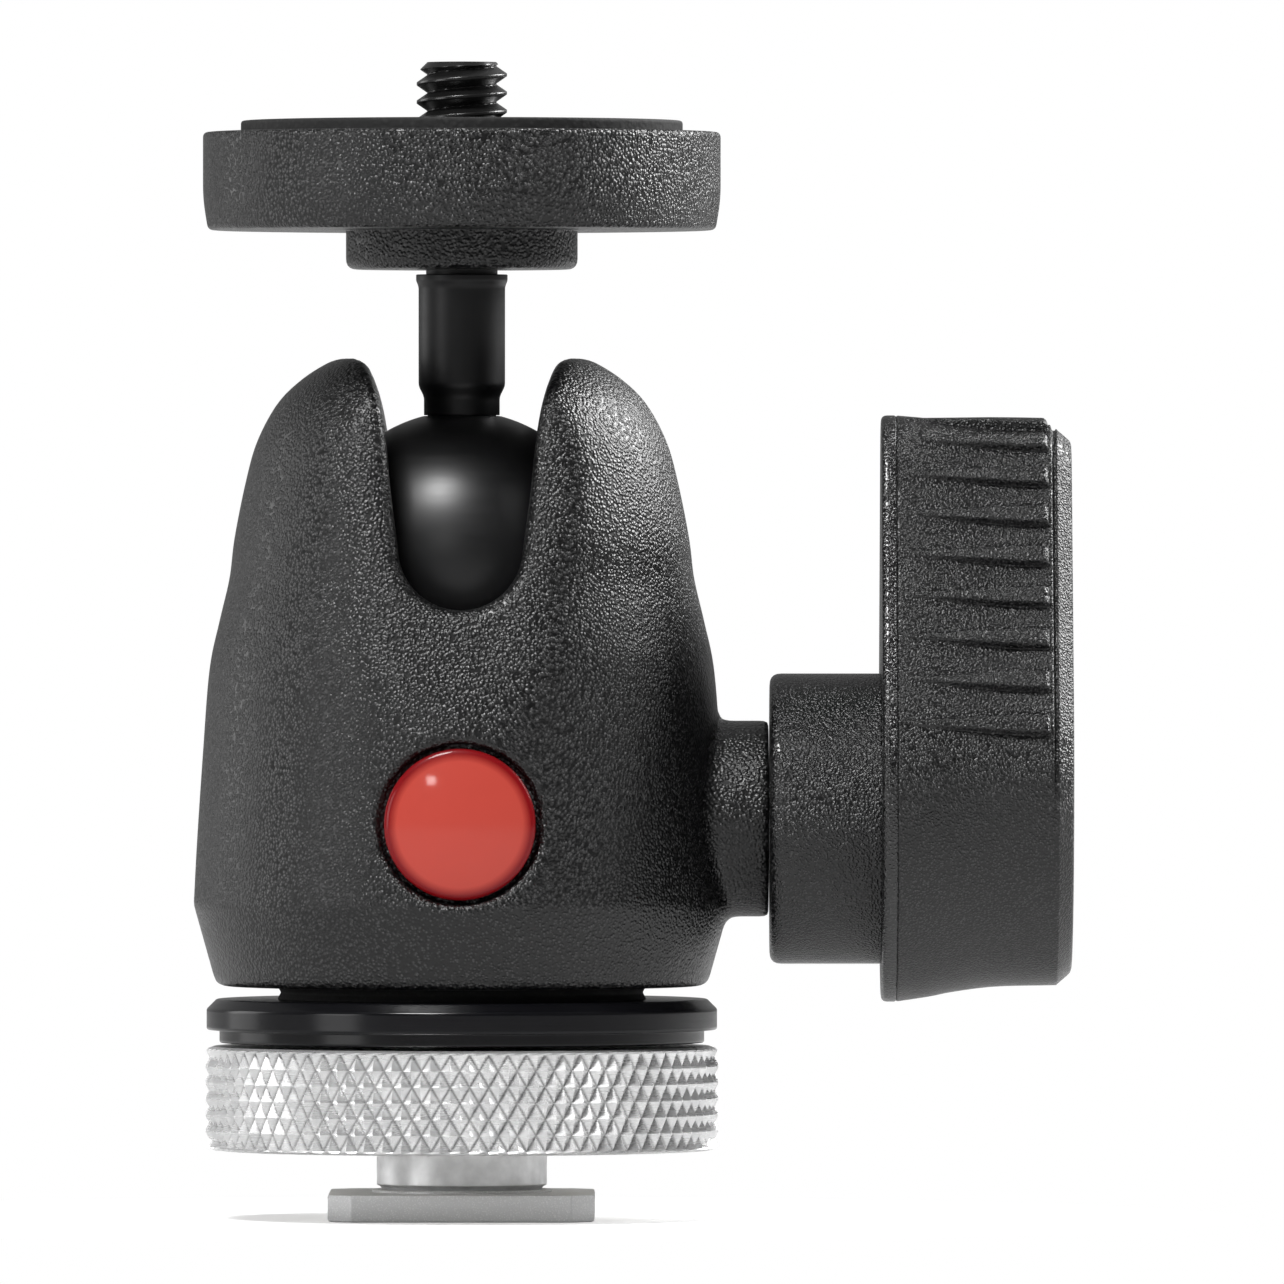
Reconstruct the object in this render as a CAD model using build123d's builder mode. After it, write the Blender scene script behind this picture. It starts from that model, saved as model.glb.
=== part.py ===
"""Mini ball head on an accessory-shoe adapter: a slotted housing, a tilting ball with its
camera platform, a side knob that locks the ball through a wedge, and a knurled shoe clamp.

Millimetres. +Z is up, the ball's axis is the Z axis, and the foot's underside is z = 0.
The housing's slot opens to the front (-Y) and the back (+Y), and the knob points to +X.
"""

import math
import os

from build123d import *

# ---------------------------------------------------------------- standard sizes
CAMERA_THREAD_R = 3.175         # 1/4 inch camera thread
FOOT_WIDTH = 18.6               # accessory shoe foot
FOOT_LENGTH = 18.0
FOOT_THICKNESS = 1.9
FOOT_CORNER = 1.6
FOOT_EDGE = 0.25

# ---------------------------------------------------------------- fits between pieces
RUNNING = 0.05                  # radial play of a turned part in its bore
SLIDING = 0.08                  # play round the ball and the plunger
FIXED_PLAY = 0.02               # play round a part that is screwed home
LINE_GAP = 0.25                 # shadow gap between parts that turn against each other

# ---------------------------------------------------------------- shoe clamp
FOOT_COLLAR_R = 6.3
FOOT_COLLAR_HEIGHT = 0.2
FOOT_COLLAR_TOP = FOOT_THICKNESS + FOOT_COLLAR_HEIGHT
SPINDLE_R = 5.95
SPIGOT_R = 4.0
KEYWAY_WIDTH = 1.4
KEYWAY_DEPTH = 0.8
RING_OPENING = 2.75             # room for a shoe's rails below the raised ring
RING_HEIGHT = 7.25
RING_BOTTOM = FOOT_COLLAR_TOP + RING_OPENING
RING_TOP = RING_BOTTOM + RING_HEIGHT
RING_EDGE = 0.48
CLAMP_WASHER_R = 13.6
CLAMP_WASHER_THICKNESS = 1.2
CLAMP_WASHER_ROOM = 0.1
FOOT_SCREW_R = 2.0
FOOT_SCREW_HEAD_R = 3.6
FOOT_SCREW_SUNK = 0.15
FOOT_SCREW_LENGTH = 7.85
FOOT_SCREW_SLOT = 0.9
FOOT_SCREW_SLOT_DEPTH = 0.7
FOOT_SCREW_ROOM = 1.1           # empty thread beyond the screw's end

# ---------------------------------------------------------------- flange under the housing
FLANGE_R = 17.85
RING_PROUD = 0.08               # the knurled ring stands out this much past the flange
RING_R = FLANGE_R + RING_PROUD
FLANGE_STEP = 0.9               # the step round the lower edge, inwards and upwards
FLANGE_RIM = 1.45
FLANGE_BEVEL = 0.7
FLANGE_EDGE = 0.15
FLANGE_BOTTOM = RING_TOP + LINE_GAP
FLANGE_STEP_TOP = FLANGE_BOTTOM + FLANGE_STEP
FLANGE_RIM_TOP = FLANGE_STEP_TOP + FLANGE_RIM
FLANGE_TOP = FLANGE_RIM_TOP + FLANGE_BEVEL
SPACER_R = 12.9
SPACER_THICKNESS = 0.9
SPACER_GROOVE = 0.25
SPACER_TOP = FLANGE_TOP + SPACER_THICKNESS

# ---------------------------------------------------------------- ball and housing
BALL_R = 10.6
BALL_RISE = 29.6                # the ball's centre above the housing's bottom
HOUSING_BOTTOM = SPACER_TOP
BALL_Z = HOUSING_BOTTOM + BALL_RISE
SOCKET_R = BALL_R + SLIDING
# (radius, height above the bottom) up the outside, from the crease above the tapered skirt
HOUSING_SIDE = [(18.75, 5.7), (18.52, 10.1), (18.12, 16.1), (17.65, 22.1)]
# (radius, height above the ball's centre) up the ears to their tops
EAR_SIDE = [
    (16.95, -4.1),
    (16.25, -1.1),
    (15.9, 1.7),
    (15.1, 5.7),
    (14.3, 8.5),
    (12.9, 11.1),
    (11.2, 12.8),
    (9.3, 14.0),
    (8.15, 14.3),
]
SKIRT_FOOT_R = 17.15
SKIRT_EDGE = 0.7
THROAT_R = 6.7                  # round opening over the ball
EAR_ROUND = (1.05, 0.9)         # from the ear's top inwards and down to its inner wall
EAR_RISE = (1.85, 2.8)          # from the ear's top outwards and up, clear of the metal
SLOT_R = 4.35                   # U slot for the stem, front and back
SLOT_RISE = 1.05                # centre of the U above the ball's centre
# (widening each side, height above the U's centre) up the slot
SLOT_SIDE = [(0.5, 3.75), (0.95, 8.05), (1.65, 11.25)]
SLOT_MOUTH = 3.05
SLOT_MOUTH_RISE = 1.3           # above the ear tops
SLOT_RIM = 1.0
FACE_TIP_DROP = 10.9            # below the ball's centre, on the sloping front and back faces
FACE_TIP_Y = 17.9
FACE_SLOPE = 16.7
FACE_BLEND = 3.0
PLUG_LIP = 1.12                 # step between the bore's mouth and the socket
PLUG_FLANGE_THICKNESS = 1.7
PLUG_ROOM = 2.4                 # between the plug and the wedge pin
PLUG_SPANNER_R = 1.0
PLUG_SPANNER_REACH = 8.0
PLUG_THREAD_ROOM = 1.0

# ---------------------------------------------------------------- lock inside the housing
LOCK_DROP = 17.9                # the lock's axis below the ball's centre
LOCK_Z = BALL_Z - LOCK_DROP
LOCK_THREAD_R = 3.95
BUSH_WALL = 1.2
BOSS_WALL = 1.7
BUSH_R = LOCK_THREAD_R + BUSH_WALL
BOSS_R = BUSH_R + BOSS_WALL
BOSS_PROUD = 2.93
BOSS_END = HOUSING_SIDE[1][0] + BOSS_PROUD
BOSS_EDGE = 0.4
BUSH_LENGTH = 8.4
BUSH_SET_BACK = 0.55
BUSH_END = BOSS_END - BUSH_SET_BACK
BUSH_START = BUSH_END - BUSH_LENGTH
BUSH_MOUTH = 0.4
PIN_STEP = 0.35                 # the pin is this much smaller than the lock thread
PIN_R = LOCK_THREAD_R - PIN_STEP
PIN_REACH = 0.4                 # into the bush
PIN_LENGTH = 26.9
PIN_END = BUSH_START + PIN_REACH
PIN_START = PIN_END - PIN_LENGTH
PIN_EDGE = 0.5
PIN_ROOM = 0.6                  # empty guide beyond the pin's blind end
WEDGE_ANGLE = 15.0
WEDGE_HEIGHT = 2.6              # wedge face above the pin's axis at x = 0
WEDGE_LENGTH = 21.1
WEDGE_PAD = 7.0                 # half length of the plunger's sloping pad
PILOT_R = 1.5
PILOT_LENGTH = 1.9
PILOT_ROOM = 0.1
PLUNGER_ROOM = 1.2              # between the plug and the plunger
PLUNGER_DROP = 11.3             # the plunger's top below the ball's centre
PLUNGER_ROOF = 1.1
PLUNGER_SLOT = 3.8
CUP_DROP = 4.5
CUP_HOLE_R = 5.2
PLUG_FLANGE_R = SOCKET_R + PLUG_LIP - SLIDING
PLUG_FLANGE_TOP = HOUSING_BOTTOM + PLUG_FLANGE_THICKNESS
PLUG_TOP = LOCK_Z - PIN_R - PLUG_ROOM
PLUNGER_BOTTOM = PLUG_TOP + PLUNGER_ROOM
PLUNGER_TOP = BALL_Z - PLUNGER_DROP
PLUNGER_RELIEF = PLUNGER_TOP - PLUNGER_ROOF
CUP_TOP = BALL_Z - CUP_DROP

# ---------------------------------------------------------------- badge on the front
BADGE_R = 5.25
BADGE_GAP = 0.35
BADGE_SINK = 1.52               # the recess below the housing's side
BADGE_THICKNESS = 1.2
BADGE_DOME = 0.75
BADGE_EDGE = 0.2
BADGE_Z = LOCK_Z - 0.2
BADGE_FLOOR = HOUSING_SIDE[1][0] - BADGE_SINK
BADGE_RIM = BADGE_FLOOR + BADGE_THICKNESS

# ---------------------------------------------------------------- knob
HUB_R = 10.15
HUB_LENGTH = 7.6
HUB_EDGE = 0.75
HUB_START = BOSS_END + LINE_GAP
HUB_END = HUB_START + HUB_LENGTH
HUB_SPIGOT_R = 6.0
STUD_R = 3.0
STUD_SHOULDER = HUB_START + 2.3
STUD_SET_BACK = 0.6
KNOB_BACK = 1.05                # thickness of the knob's back plate
KNOB_BACK_EDGE = 0.9
KNOB_DEPTH = 12.25
KNOB_START = HUB_END + KNOB_BACK
KNOB_END = KNOB_START + KNOB_DEPTH
KNOB_LOBE_R = 15.0
KNOB_LOBE_RISE = 2.2
KNOB_NOSE_R = 6.0
KNOB_NOSE_RISE = 22.2
KNOB_BEVEL = 1.05               # along the axis
KNOB_BEVEL_IN = 0.8
# (share of the grip's depth, inset of the outline) along the waisted flank
KNOB_FLANK = [(0.0, 0.0), (0.19, 0.35), (0.335, 0.7), (0.57, 1.05), (0.9, 1.15)]
RIB_PITCH = 3.17
RIBS_EACH_SIDE = 9
RIB_WIDTH = 1.5
RIB_START = 1.3                 # from the start of the grip
RIB_FULL = 5.6
RIB_END = KNOB_DEPTH - 1.65
RIB_INSET = 0.08
RIB_ROOT = 2.2
KNOB_WELL_R = 8.0
KNOB_WASHER_ROOM = 0.6
KNOB_WASHER_R = KNOB_WELL_R - KNOB_WASHER_ROOM
KNOB_WASHER_THICKNESS = 0.8
KNOB_BOLT_R = 1.5
KNOB_BOLT_LENGTH = 6.0
KNOB_BOLT_HEAD_R = 4.0
KNOB_BOLT_HEAD = 2.0
KNOB_BOLT_KEY_R = 1.7
KNOB_BOLT_KEY_DEPTH = 1.2
CAP_LEDGE = 0.7
CAP_R = KNOB_WELL_R + CAP_LEDGE
CAP_THICKNESS = 1.1
CAP_RECESS = 0.15
CAP_EDGE = 0.25
CAP_ROOM = 1.35                 # between the bolt's head and the cap
CAP_SEAT = KNOB_END - CAP_RECESS - CAP_THICKNESS
HUB_SPIGOT_END = CAP_SEAT - CAP_ROOM - KNOB_BOLT_HEAD - KNOB_WASHER_THICKNESS

# ---------------------------------------------------------------- stem and platform
PLATFORM_RISE = 20.5            # the platform's hub above the ball's centre
HUB_PLATE_R = 8.1
HUB_PLATE_HEIGHT = 2.75
HUB_PLATE_EDGE = 0.7
PLATE_R = 18.1
PLATE_THICKNESS = 6.85
PLATE_EDGE = 0.4
PLATE_TAPER = (0.2, 2.2)        # inwards, and up from the underside
HUB_PLATE_BOTTOM = BALL_Z + PLATFORM_RISE
PLATE_BOTTOM = HUB_PLATE_BOTTOM + HUB_PLATE_HEIGHT
PLATE_TOP = PLATE_BOTTOM + PLATE_THICKNESS
PAD_INSET = 2.65
PAD_R = PLATE_R - PAD_INSET
PAD_SEAT = 0.8
PAD_PROUD = 0.8
PAD_EDGE = 0.3
PAD_HOLE_R = 3.7
PAD_TOP = PLATE_TOP + PAD_PROUD
CAMERA_SCREW_SEAT = 3.2         # depth of the screw's plain tail in the platform
CAMERA_SCREW_TAIL_R = 2.9
CAMERA_SCREW_REACH = 4.1        # above the pad, where the thread begins
CAMERA_SCREW_CHAMFER = 0.7
CAMERA_SCREW_BOTTOM = PLATE_TOP - CAMERA_SCREW_SEAT
CAMERA_SCREW_TOP = PAD_TOP + CAMERA_SCREW_REACH
STEM_TAIL_R = 2.4
STEM_TAIL_RISE = 1.0
NECK_R = 2.65
NECK_SEAT_PLAY = 0.05
NECK_RISE = 11.6
STEM_R = 3.025
STEM_TAPER = 0.75
STEM_LIP = 0.175
STEM_LIP_HEIGHT = 0.45
GROOVE_R = 2.5
GROOVE_HEIGHT = 0.35
TENON_R = 2.2
TENON_LENGTH = 5.0
TENON_ROOM = 0.1
STEM_TAIL_BOTTOM = BALL_Z + STEM_TAIL_RISE
NECK_TOP = BALL_Z + NECK_RISE
STEM_TAPER_TOP = NECK_TOP + STEM_TAPER
STEM_LIP_R = STEM_R + STEM_LIP
STEM_LIP_TOP = HUB_PLATE_BOTTOM - GROOVE_HEIGHT
STEM_LIP_BOTTOM = STEM_LIP_TOP - STEM_LIP_HEIGHT
TENON_TOP = HUB_PLATE_BOTTOM + TENON_LENGTH


def across(x):
    """Plane square to the knob's axis at height LOCK_Z, with its own x along +Y and y up."""
    return Plane(origin=(x, 0, LOCK_Z), x_dir=(0, 1, 0), z_dir=(1, 0, 0))


def save(piece, name):
    """Name a finished piece and write it as its own file."""
    piece.label = name
    export_step(piece, f"parts/{name}.step")


os.makedirs("parts", exist_ok=True)

# ================================================================ shoe clamp
# The foot slides under the rails of an accessory shoe. Its corners are cut off.
with BuildPart() as shoe_foot:
    with BuildSketch():
        Rectangle(FOOT_WIDTH, FOOT_LENGTH)
        chamfer(vertices(), FOOT_CORNER)
    extrude(amount=FOOT_THICKNESS)
    with BuildSketch(Plane.XY.offset(FOOT_THICKNESS)):
        Circle(FOOT_COLLAR_R)
    extrude(amount=FOOT_COLLAR_TOP - FOOT_THICKNESS)
    chamfer(faces().sort_by(Axis.Z)[0].outer_wire().edges(), FOOT_EDGE)
    underside = Plane(origin=(0, 0, 0), z_dir=(0, 0, -1))
    with Locations(underside):
        CounterSinkHole(FOOT_SCREW_R + FIXED_PLAY, FOOT_SCREW_HEAD_R, FOOT_COLLAR_TOP, 90)
save(shoe_foot.part, "shoe_foot")

# The countersunk screw holds the foot to the spindle from below.
foot_screw_head = FOOT_SCREW_HEAD_R - FOOT_SCREW_R
foot_screw_end = FOOT_SCREW_SUNK + FOOT_SCREW_LENGTH
foot_screw_cone_r = FOOT_SCREW_HEAD_R - FOOT_SCREW_SUNK - FIXED_PLAY
with BuildPart() as foot_screw:
    with BuildSketch(Plane.XZ):
        with BuildLine():
            Polyline(
                (0, FOOT_SCREW_SUNK),
                (foot_screw_cone_r, FOOT_SCREW_SUNK),
                (FOOT_SCREW_R, foot_screw_head - FIXED_PLAY),
                (FOOT_SCREW_R, foot_screw_end),
                (0, foot_screw_end),
                close=True,
            )
        make_face()
    revolve(axis=Axis.Z)
    with BuildSketch(Plane.XY.offset(FOOT_SCREW_SUNK)):
        Rectangle(2 * FOOT_SCREW_HEAD_R, FOOT_SCREW_SLOT)
    extrude(amount=FOOT_SCREW_SLOT_DEPTH, mode=Mode.SUBTRACT)
save(foot_screw.part, "foot_screw")

# The spindle carries the ring's thread, a keyway for the clamp washer, and at its top the
# thread that screws into the housing's plug.
with BuildPart() as spindle:
    with BuildSketch(Plane.XY.offset(FOOT_COLLAR_TOP)):
        Circle(SPINDLE_R)
    extrude(amount=FLANGE_BOTTOM - FOOT_COLLAR_TOP)
    with BuildSketch(Plane.XY.offset(FLANGE_BOTTOM)):
        Circle(SPIGOT_R)
    extrude(amount=FLANGE_TOP - FLANGE_BOTTOM)
    with BuildSketch(Plane.XY.offset(FLANGE_TOP)):
        Circle(CAMERA_THREAD_R)
    extrude(amount=PLUG_TOP - PLUG_THREAD_ROOM - FLANGE_TOP)
    chamfer(faces().sort_by(Axis.Z)[-1].edges(), CAMERA_SCREW_CHAMFER)
    with BuildSketch(Plane.XY.offset(FOOT_COLLAR_TOP)):
        with Locations((0, SPINDLE_R)):
            Rectangle(KEYWAY_WIDTH, 2 * KEYWAY_DEPTH)
    extrude(amount=RING_BOTTOM + CLAMP_WASHER_THICKNESS - FOOT_COLLAR_TOP, mode=Mode.SUBTRACT)
    with BuildSketch(Plane.XY.offset(FOOT_COLLAR_TOP)):
        Circle(FOOT_SCREW_R + FIXED_PLAY)
    extrude(amount=foot_screw_end + FOOT_SCREW_ROOM - FOOT_COLLAR_TOP, mode=Mode.SUBTRACT)
save(spindle.part, "spindle")

# The knurled ring screws down the spindle to grip the shoe's rails against the foot.
ring_bore_r = SPINDLE_R + RUNNING
with BuildPart() as clamp_ring:
    with BuildSketch(Plane.XY.offset(RING_BOTTOM)):
        Circle(RING_R)
        Circle(ring_bore_r, mode=Mode.SUBTRACT)
    extrude(amount=RING_TOP - RING_BOTTOM)
    with BuildSketch(Plane.XY.offset(RING_BOTTOM)):
        Circle(CLAMP_WASHER_R + LINE_GAP)
    extrude(amount=CLAMP_WASHER_THICKNESS + CLAMP_WASHER_ROOM, mode=Mode.SUBTRACT)
    ring_rims = edges().filter_by(GeomType.CIRCLE).group_by(SortBy.RADIUS)[-1]
    chamfer(ring_rims, RING_EDGE)
save(clamp_ring.part, "clamp_ring")

# The clamp washer sits in the ring's underside. Its tongue in the keyway stops it turning.
with BuildPart() as clamp_washer:
    with BuildSketch(Plane.XY.offset(RING_BOTTOM)):
        Circle(CLAMP_WASHER_R)
        Circle(ring_bore_r, mode=Mode.SUBTRACT)
        with Locations((0, SPINDLE_R)):
            Rectangle(KEYWAY_WIDTH - 2 * SLIDING, 2 * KEYWAY_DEPTH - 2 * SLIDING)
    extrude(amount=CLAMP_WASHER_THICKNESS)
save(clamp_washer.part, "clamp_washer")

# ================================================================ flange and spacer
with BuildPart() as flange_disc:
    with BuildSketch(Plane.XZ):
        with BuildLine():
            Polyline(
                (SPIGOT_R + FIXED_PLAY, FLANGE_BOTTOM),
                (FLANGE_R - FLANGE_STEP, FLANGE_BOTTOM),
                (FLANGE_R - FLANGE_STEP, FLANGE_STEP_TOP),
                (FLANGE_R - FLANGE_EDGE, FLANGE_STEP_TOP),
                (FLANGE_R, FLANGE_STEP_TOP + FLANGE_EDGE),
                (FLANGE_R, FLANGE_RIM_TOP),
                (FLANGE_R - FLANGE_BEVEL, FLANGE_TOP),
                (SPIGOT_R + FIXED_PLAY, FLANGE_TOP),
                close=True,
            )
        make_face()
    revolve(axis=Axis.Z)
save(flange_disc.part, "flange_disc")

spacer_middle = (FLANGE_TOP + SPACER_TOP) / 2
with BuildPart() as spacer_washer:
    with BuildSketch(Plane.XZ):
        with BuildLine():
            Polyline(
                (SPIGOT_R + FIXED_PLAY, FLANGE_TOP),
                (SPACER_R, FLANGE_TOP),
                (SPACER_R - SPACER_GROOVE, spacer_middle),
                (SPACER_R, SPACER_TOP),
                (SPIGOT_R + FIXED_PLAY, SPACER_TOP),
                close=True,
            )
        make_face()
    revolve(axis=Axis.Z)
save(spacer_washer.part, "spacer_washer")

# The plug closes the housing's bore from below and takes the spindle's thread.
with BuildPart() as base_plug:
    with BuildSketch(Plane.XY.offset(HOUSING_BOTTOM)):
        Circle(PLUG_FLANGE_R)
    extrude(amount=PLUG_FLANGE_TOP - HOUSING_BOTTOM)
    with BuildSketch(Plane.XY.offset(PLUG_FLANGE_TOP)):
        Circle(SOCKET_R - SLIDING)
    extrude(amount=PLUG_TOP - PLUG_FLANGE_TOP)
    with BuildSketch(Plane.XY.offset(HOUSING_BOTTOM)):
        Circle(CAMERA_THREAD_R + FIXED_PLAY)
        with Locations((-PLUG_SPANNER_REACH, 0), (PLUG_SPANNER_REACH, 0)):
            Circle(PLUG_SPANNER_R)
    extrude(amount=PLUG_TOP - HOUSING_BOTTOM, mode=Mode.SUBTRACT)
save(base_plug.part, "base_plug")

# ================================================================ housing
# A turned outer shape with a long waist and rounded ears, cut back at the front and the back
# by a sloping face, and slotted for the stem. The ball goes in from below and seats under
# the ears.
face_normal = Vector(0, -math.cos(math.radians(FACE_SLOPE)), math.sin(math.radians(FACE_SLOPE)))


def socket_z(radius):
    """Height of the socket's wall above the ball, at this distance from the axis."""
    return BALL_Z + math.sqrt(SOCKET_R**2 - radius**2)


housing_side = [(radius, HOUSING_BOTTOM + height) for radius, height in HOUSING_SIDE]
housing_side += [(radius, BALL_Z + height) for radius, height in EAR_SIDE]
ear_top_r, ear_top_z = housing_side[-1]
slot_z = BALL_Z + SLOT_RISE
slot_side = [(SLOT_R + widening, slot_z + height) for widening, height in SLOT_SIDE]
slot_side.append((SLOT_R + SLOT_MOUTH, ear_top_z + SLOT_MOUTH_RISE))
slot_lean = (1, 1.6)

with BuildPart() as body_casting:
    with BuildSketch(Plane.XZ):
        with BuildLine():
            Polyline((0, HOUSING_BOTTOM), (SKIRT_FOOT_R, HOUSING_BOTTOM), housing_side[0])
            side = Spline(housing_side)
            crest = Line(side @ 1, (0, ear_top_z))
            Line(crest @ 1, (0, HOUSING_BOTTOM))
        make_face()
    revolve(axis=Axis.Z)
    bottom_rim = edges().filter_by(GeomType.CIRCLE).sort_by(Axis.Z)[0]
    fillet(bottom_rim, SKIRT_EDGE)

    # sloping faces, blended softly into the turned side
    for side_sign in (1, -1):
        slope_plane = Plane(
            origin=(0, -side_sign * FACE_TIP_Y, BALL_Z - FACE_TIP_DROP),
            x_dir=(1, 0, 0),
            z_dir=(0, face_normal.Y * side_sign, face_normal.Z),
        )
        with BuildSketch(slope_plane):
            Rectangle(4 * FACE_TIP_Y, 4 * FACE_TIP_Y)
        extrude(amount=FACE_TIP_Y, mode=Mode.SUBTRACT)
        fillet(edges(Select.LAST), FACE_BLEND)

    # round boss for the lock
    with BuildSketch(across(0)):
        Circle(BOSS_R)
    extrude(amount=BOSS_END)
    boss_rim = edges().filter_by(GeomType.CIRCLE).sort_by(Axis.X)[-1]
    fillet(boss_rim, BOSS_EDGE)

    # U slot, with a rounded rim
    with BuildSketch(Plane.XZ):
        with BuildLine():
            CenterArc((0, slot_z), SLOT_R, 180, 180)
            right = Spline([(SLOT_R, slot_z)] + slot_side, tangents=[(0, 1), slot_lean])
            Line(right @ 1, (-slot_side[-1][0], slot_side[-1][1]))
            Spline(
                [(-SLOT_R, slot_z)] + [(-x, z) for x, z in slot_side],
                tangents=[(0, 1), (-slot_lean[0], slot_lean[1])],
            )
        make_face()
    extrude(amount=2 * SOCKET_R, both=True, mode=Mode.SUBTRACT)
    fillet(edges(Select.LAST).filter_by(GeomType.LINE, reverse=True), SLOT_RIM)

    # bore from below, socket over the ball, and the round opening between the ears
    with BuildSketch(Plane.XZ):
        with BuildLine():
            throat_z = socket_z(THROAT_R)
            mouth = Polyline(
                (0, HOUSING_BOTTOM),
                (PLUG_FLANGE_R + SLIDING, HOUSING_BOTTOM),
                (PLUG_FLANGE_R + SLIDING, PLUG_FLANGE_TOP),
                (SOCKET_R, PLUG_FLANGE_TOP),
                (SOCKET_R, BALL_Z),
            )
            seat = RadiusArc(mouth @ 1, (THROAT_R, throat_z), -SOCKET_R)
            throat = Line(seat @ 1, (ear_top_r - EAR_ROUND[0], ear_top_z - EAR_ROUND[1]))
            ear = Spline(
                [throat @ 1, (ear_top_r, ear_top_z), (ear_top_r + EAR_RISE[0], ear_top_z + EAR_RISE[1])],
                tangents=[(0.15, 1), (1, 0.6)],
            )
            top = Line(ear @ 1, (0, (ear @ 1).Y))
            Line(top @ 1, (0, HOUSING_BOTTOM))
        make_face()
    revolve(axis=Axis.Z, mode=Mode.SUBTRACT)

    # blind guide and through bore for the wedge pin, and the bush's seat
    with BuildSketch(across(PIN_START - PIN_ROOM)):
        Circle(PIN_R + RUNNING)
    extrude(amount=BUSH_START - PIN_START + PIN_ROOM, mode=Mode.SUBTRACT)
    with BuildSketch(across(BUSH_START)):
        Circle(BUSH_R + FIXED_PLAY)
    extrude(amount=BOSS_END - BUSH_START, mode=Mode.SUBTRACT)

    # badge recess
    with BuildSketch(Plane(origin=(0, -BADGE_FLOOR, BADGE_Z), x_dir=(1, 0, 0), z_dir=(0, -1, 0))):
        Circle(BADGE_R + BADGE_GAP)
    extrude(amount=BADGE_R, mode=Mode.SUBTRACT)
save(body_casting.part, "body_casting")

# The badge is a plain dome on a short disc.
dome_radius = ((BADGE_R - BADGE_EDGE) ** 2 + BADGE_DOME**2) / (2 * BADGE_DOME)
with BuildPart() as badge:
    with BuildSketch(Plane.XZ):
        with BuildLine():
            disc = Polyline(
                (0, BADGE_FLOOR),
                (BADGE_R, BADGE_FLOOR),
                (BADGE_R, BADGE_RIM - BADGE_EDGE),
                (BADGE_R - BADGE_EDGE, BADGE_RIM),
            )
            dome = RadiusArc(disc @ 1, (0, BADGE_RIM + BADGE_DOME), -dome_radius)
            Line(dome @ 1, (0, BADGE_FLOOR))
        make_face()
    revolve(axis=Axis.Z)
badge_placed = Location((0, 0, BADGE_Z), (90, 0, 0)) * badge.part
save(badge_placed, "badge")

# ================================================================ lock
# Brass bush that carries the lock screw's thread in the boss.
with BuildPart() as lock_bush:
    with BuildSketch(across(BUSH_START)):
        Circle(BUSH_R)
        Circle(LOCK_THREAD_R + RUNNING, mode=Mode.SUBTRACT)
    extrude(amount=BUSH_END - BUSH_START)
    bush_mouth = faces().sort_by(Axis.X)[-1].inner_wires()[0].edges()
    chamfer(bush_mouth, BUSH_MOUTH)
save(lock_bush.part, "lock_bush")

# The wedge pin slides along the knob's axis. Its sloping face lifts the plunger.
wedge_rise = math.tan(math.radians(WEDGE_ANGLE))
wedge_top = LOCK_Z + WEDGE_HEIGHT
wedge_start = PIN_END - WEDGE_LENGTH
with BuildPart() as wedge_pin:
    with BuildSketch(across(PIN_START)):
        Circle(PIN_R)
    extrude(amount=PIN_END - PIN_START)
    chamfer(faces().sort_by(Axis.X)[0].edges(), PIN_EDGE)
    with BuildSketch(Plane.XZ):
        with BuildLine():
            Polyline(
                (wedge_start, wedge_top + wedge_start * wedge_rise),
                (PIN_END, wedge_top + PIN_END * wedge_rise),
                (PIN_END, wedge_top + 2 * PIN_R),
                (wedge_start, wedge_top + 2 * PIN_R),
                close=True,
            )
        make_face()
    extrude(amount=2 * PIN_R, both=True, mode=Mode.SUBTRACT)
    with BuildSketch(across(PIN_END)):
        Circle(PILOT_R + RUNNING)
    extrude(amount=-PILOT_LENGTH - PILOT_ROOM, mode=Mode.SUBTRACT)
save(wedge_pin.part, "wedge_pin")

# The plunger straddles the pin. It carries the cup that presses on the ball.
pad_clear = SLIDING - RUNNING
with BuildPart() as plunger:
    with BuildSketch(Plane.XY.offset(PLUNGER_BOTTOM)):
        Circle(SOCKET_R - SLIDING)
    extrude(amount=PLUNGER_TOP - PLUNGER_BOTTOM)
    with BuildSketch(Plane.XZ):
        with BuildLine():
            Polyline(
                (-2 * SOCKET_R, PLUNGER_BOTTOM),
                (-2 * SOCKET_R, PLUNGER_RELIEF),
                (-WEDGE_PAD, PLUNGER_RELIEF),
                (-WEDGE_PAD, wedge_top + pad_clear - WEDGE_PAD * wedge_rise),
                (WEDGE_PAD, wedge_top + pad_clear + WEDGE_PAD * wedge_rise),
                (WEDGE_PAD, PLUNGER_RELIEF),
                (2 * SOCKET_R, PLUNGER_RELIEF),
                (2 * SOCKET_R, PLUNGER_BOTTOM),
                close=True,
            )
        make_face()
    extrude(amount=PLUNGER_SLOT, both=True, mode=Mode.SUBTRACT)
save(plunger.part, "plunger")

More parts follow.
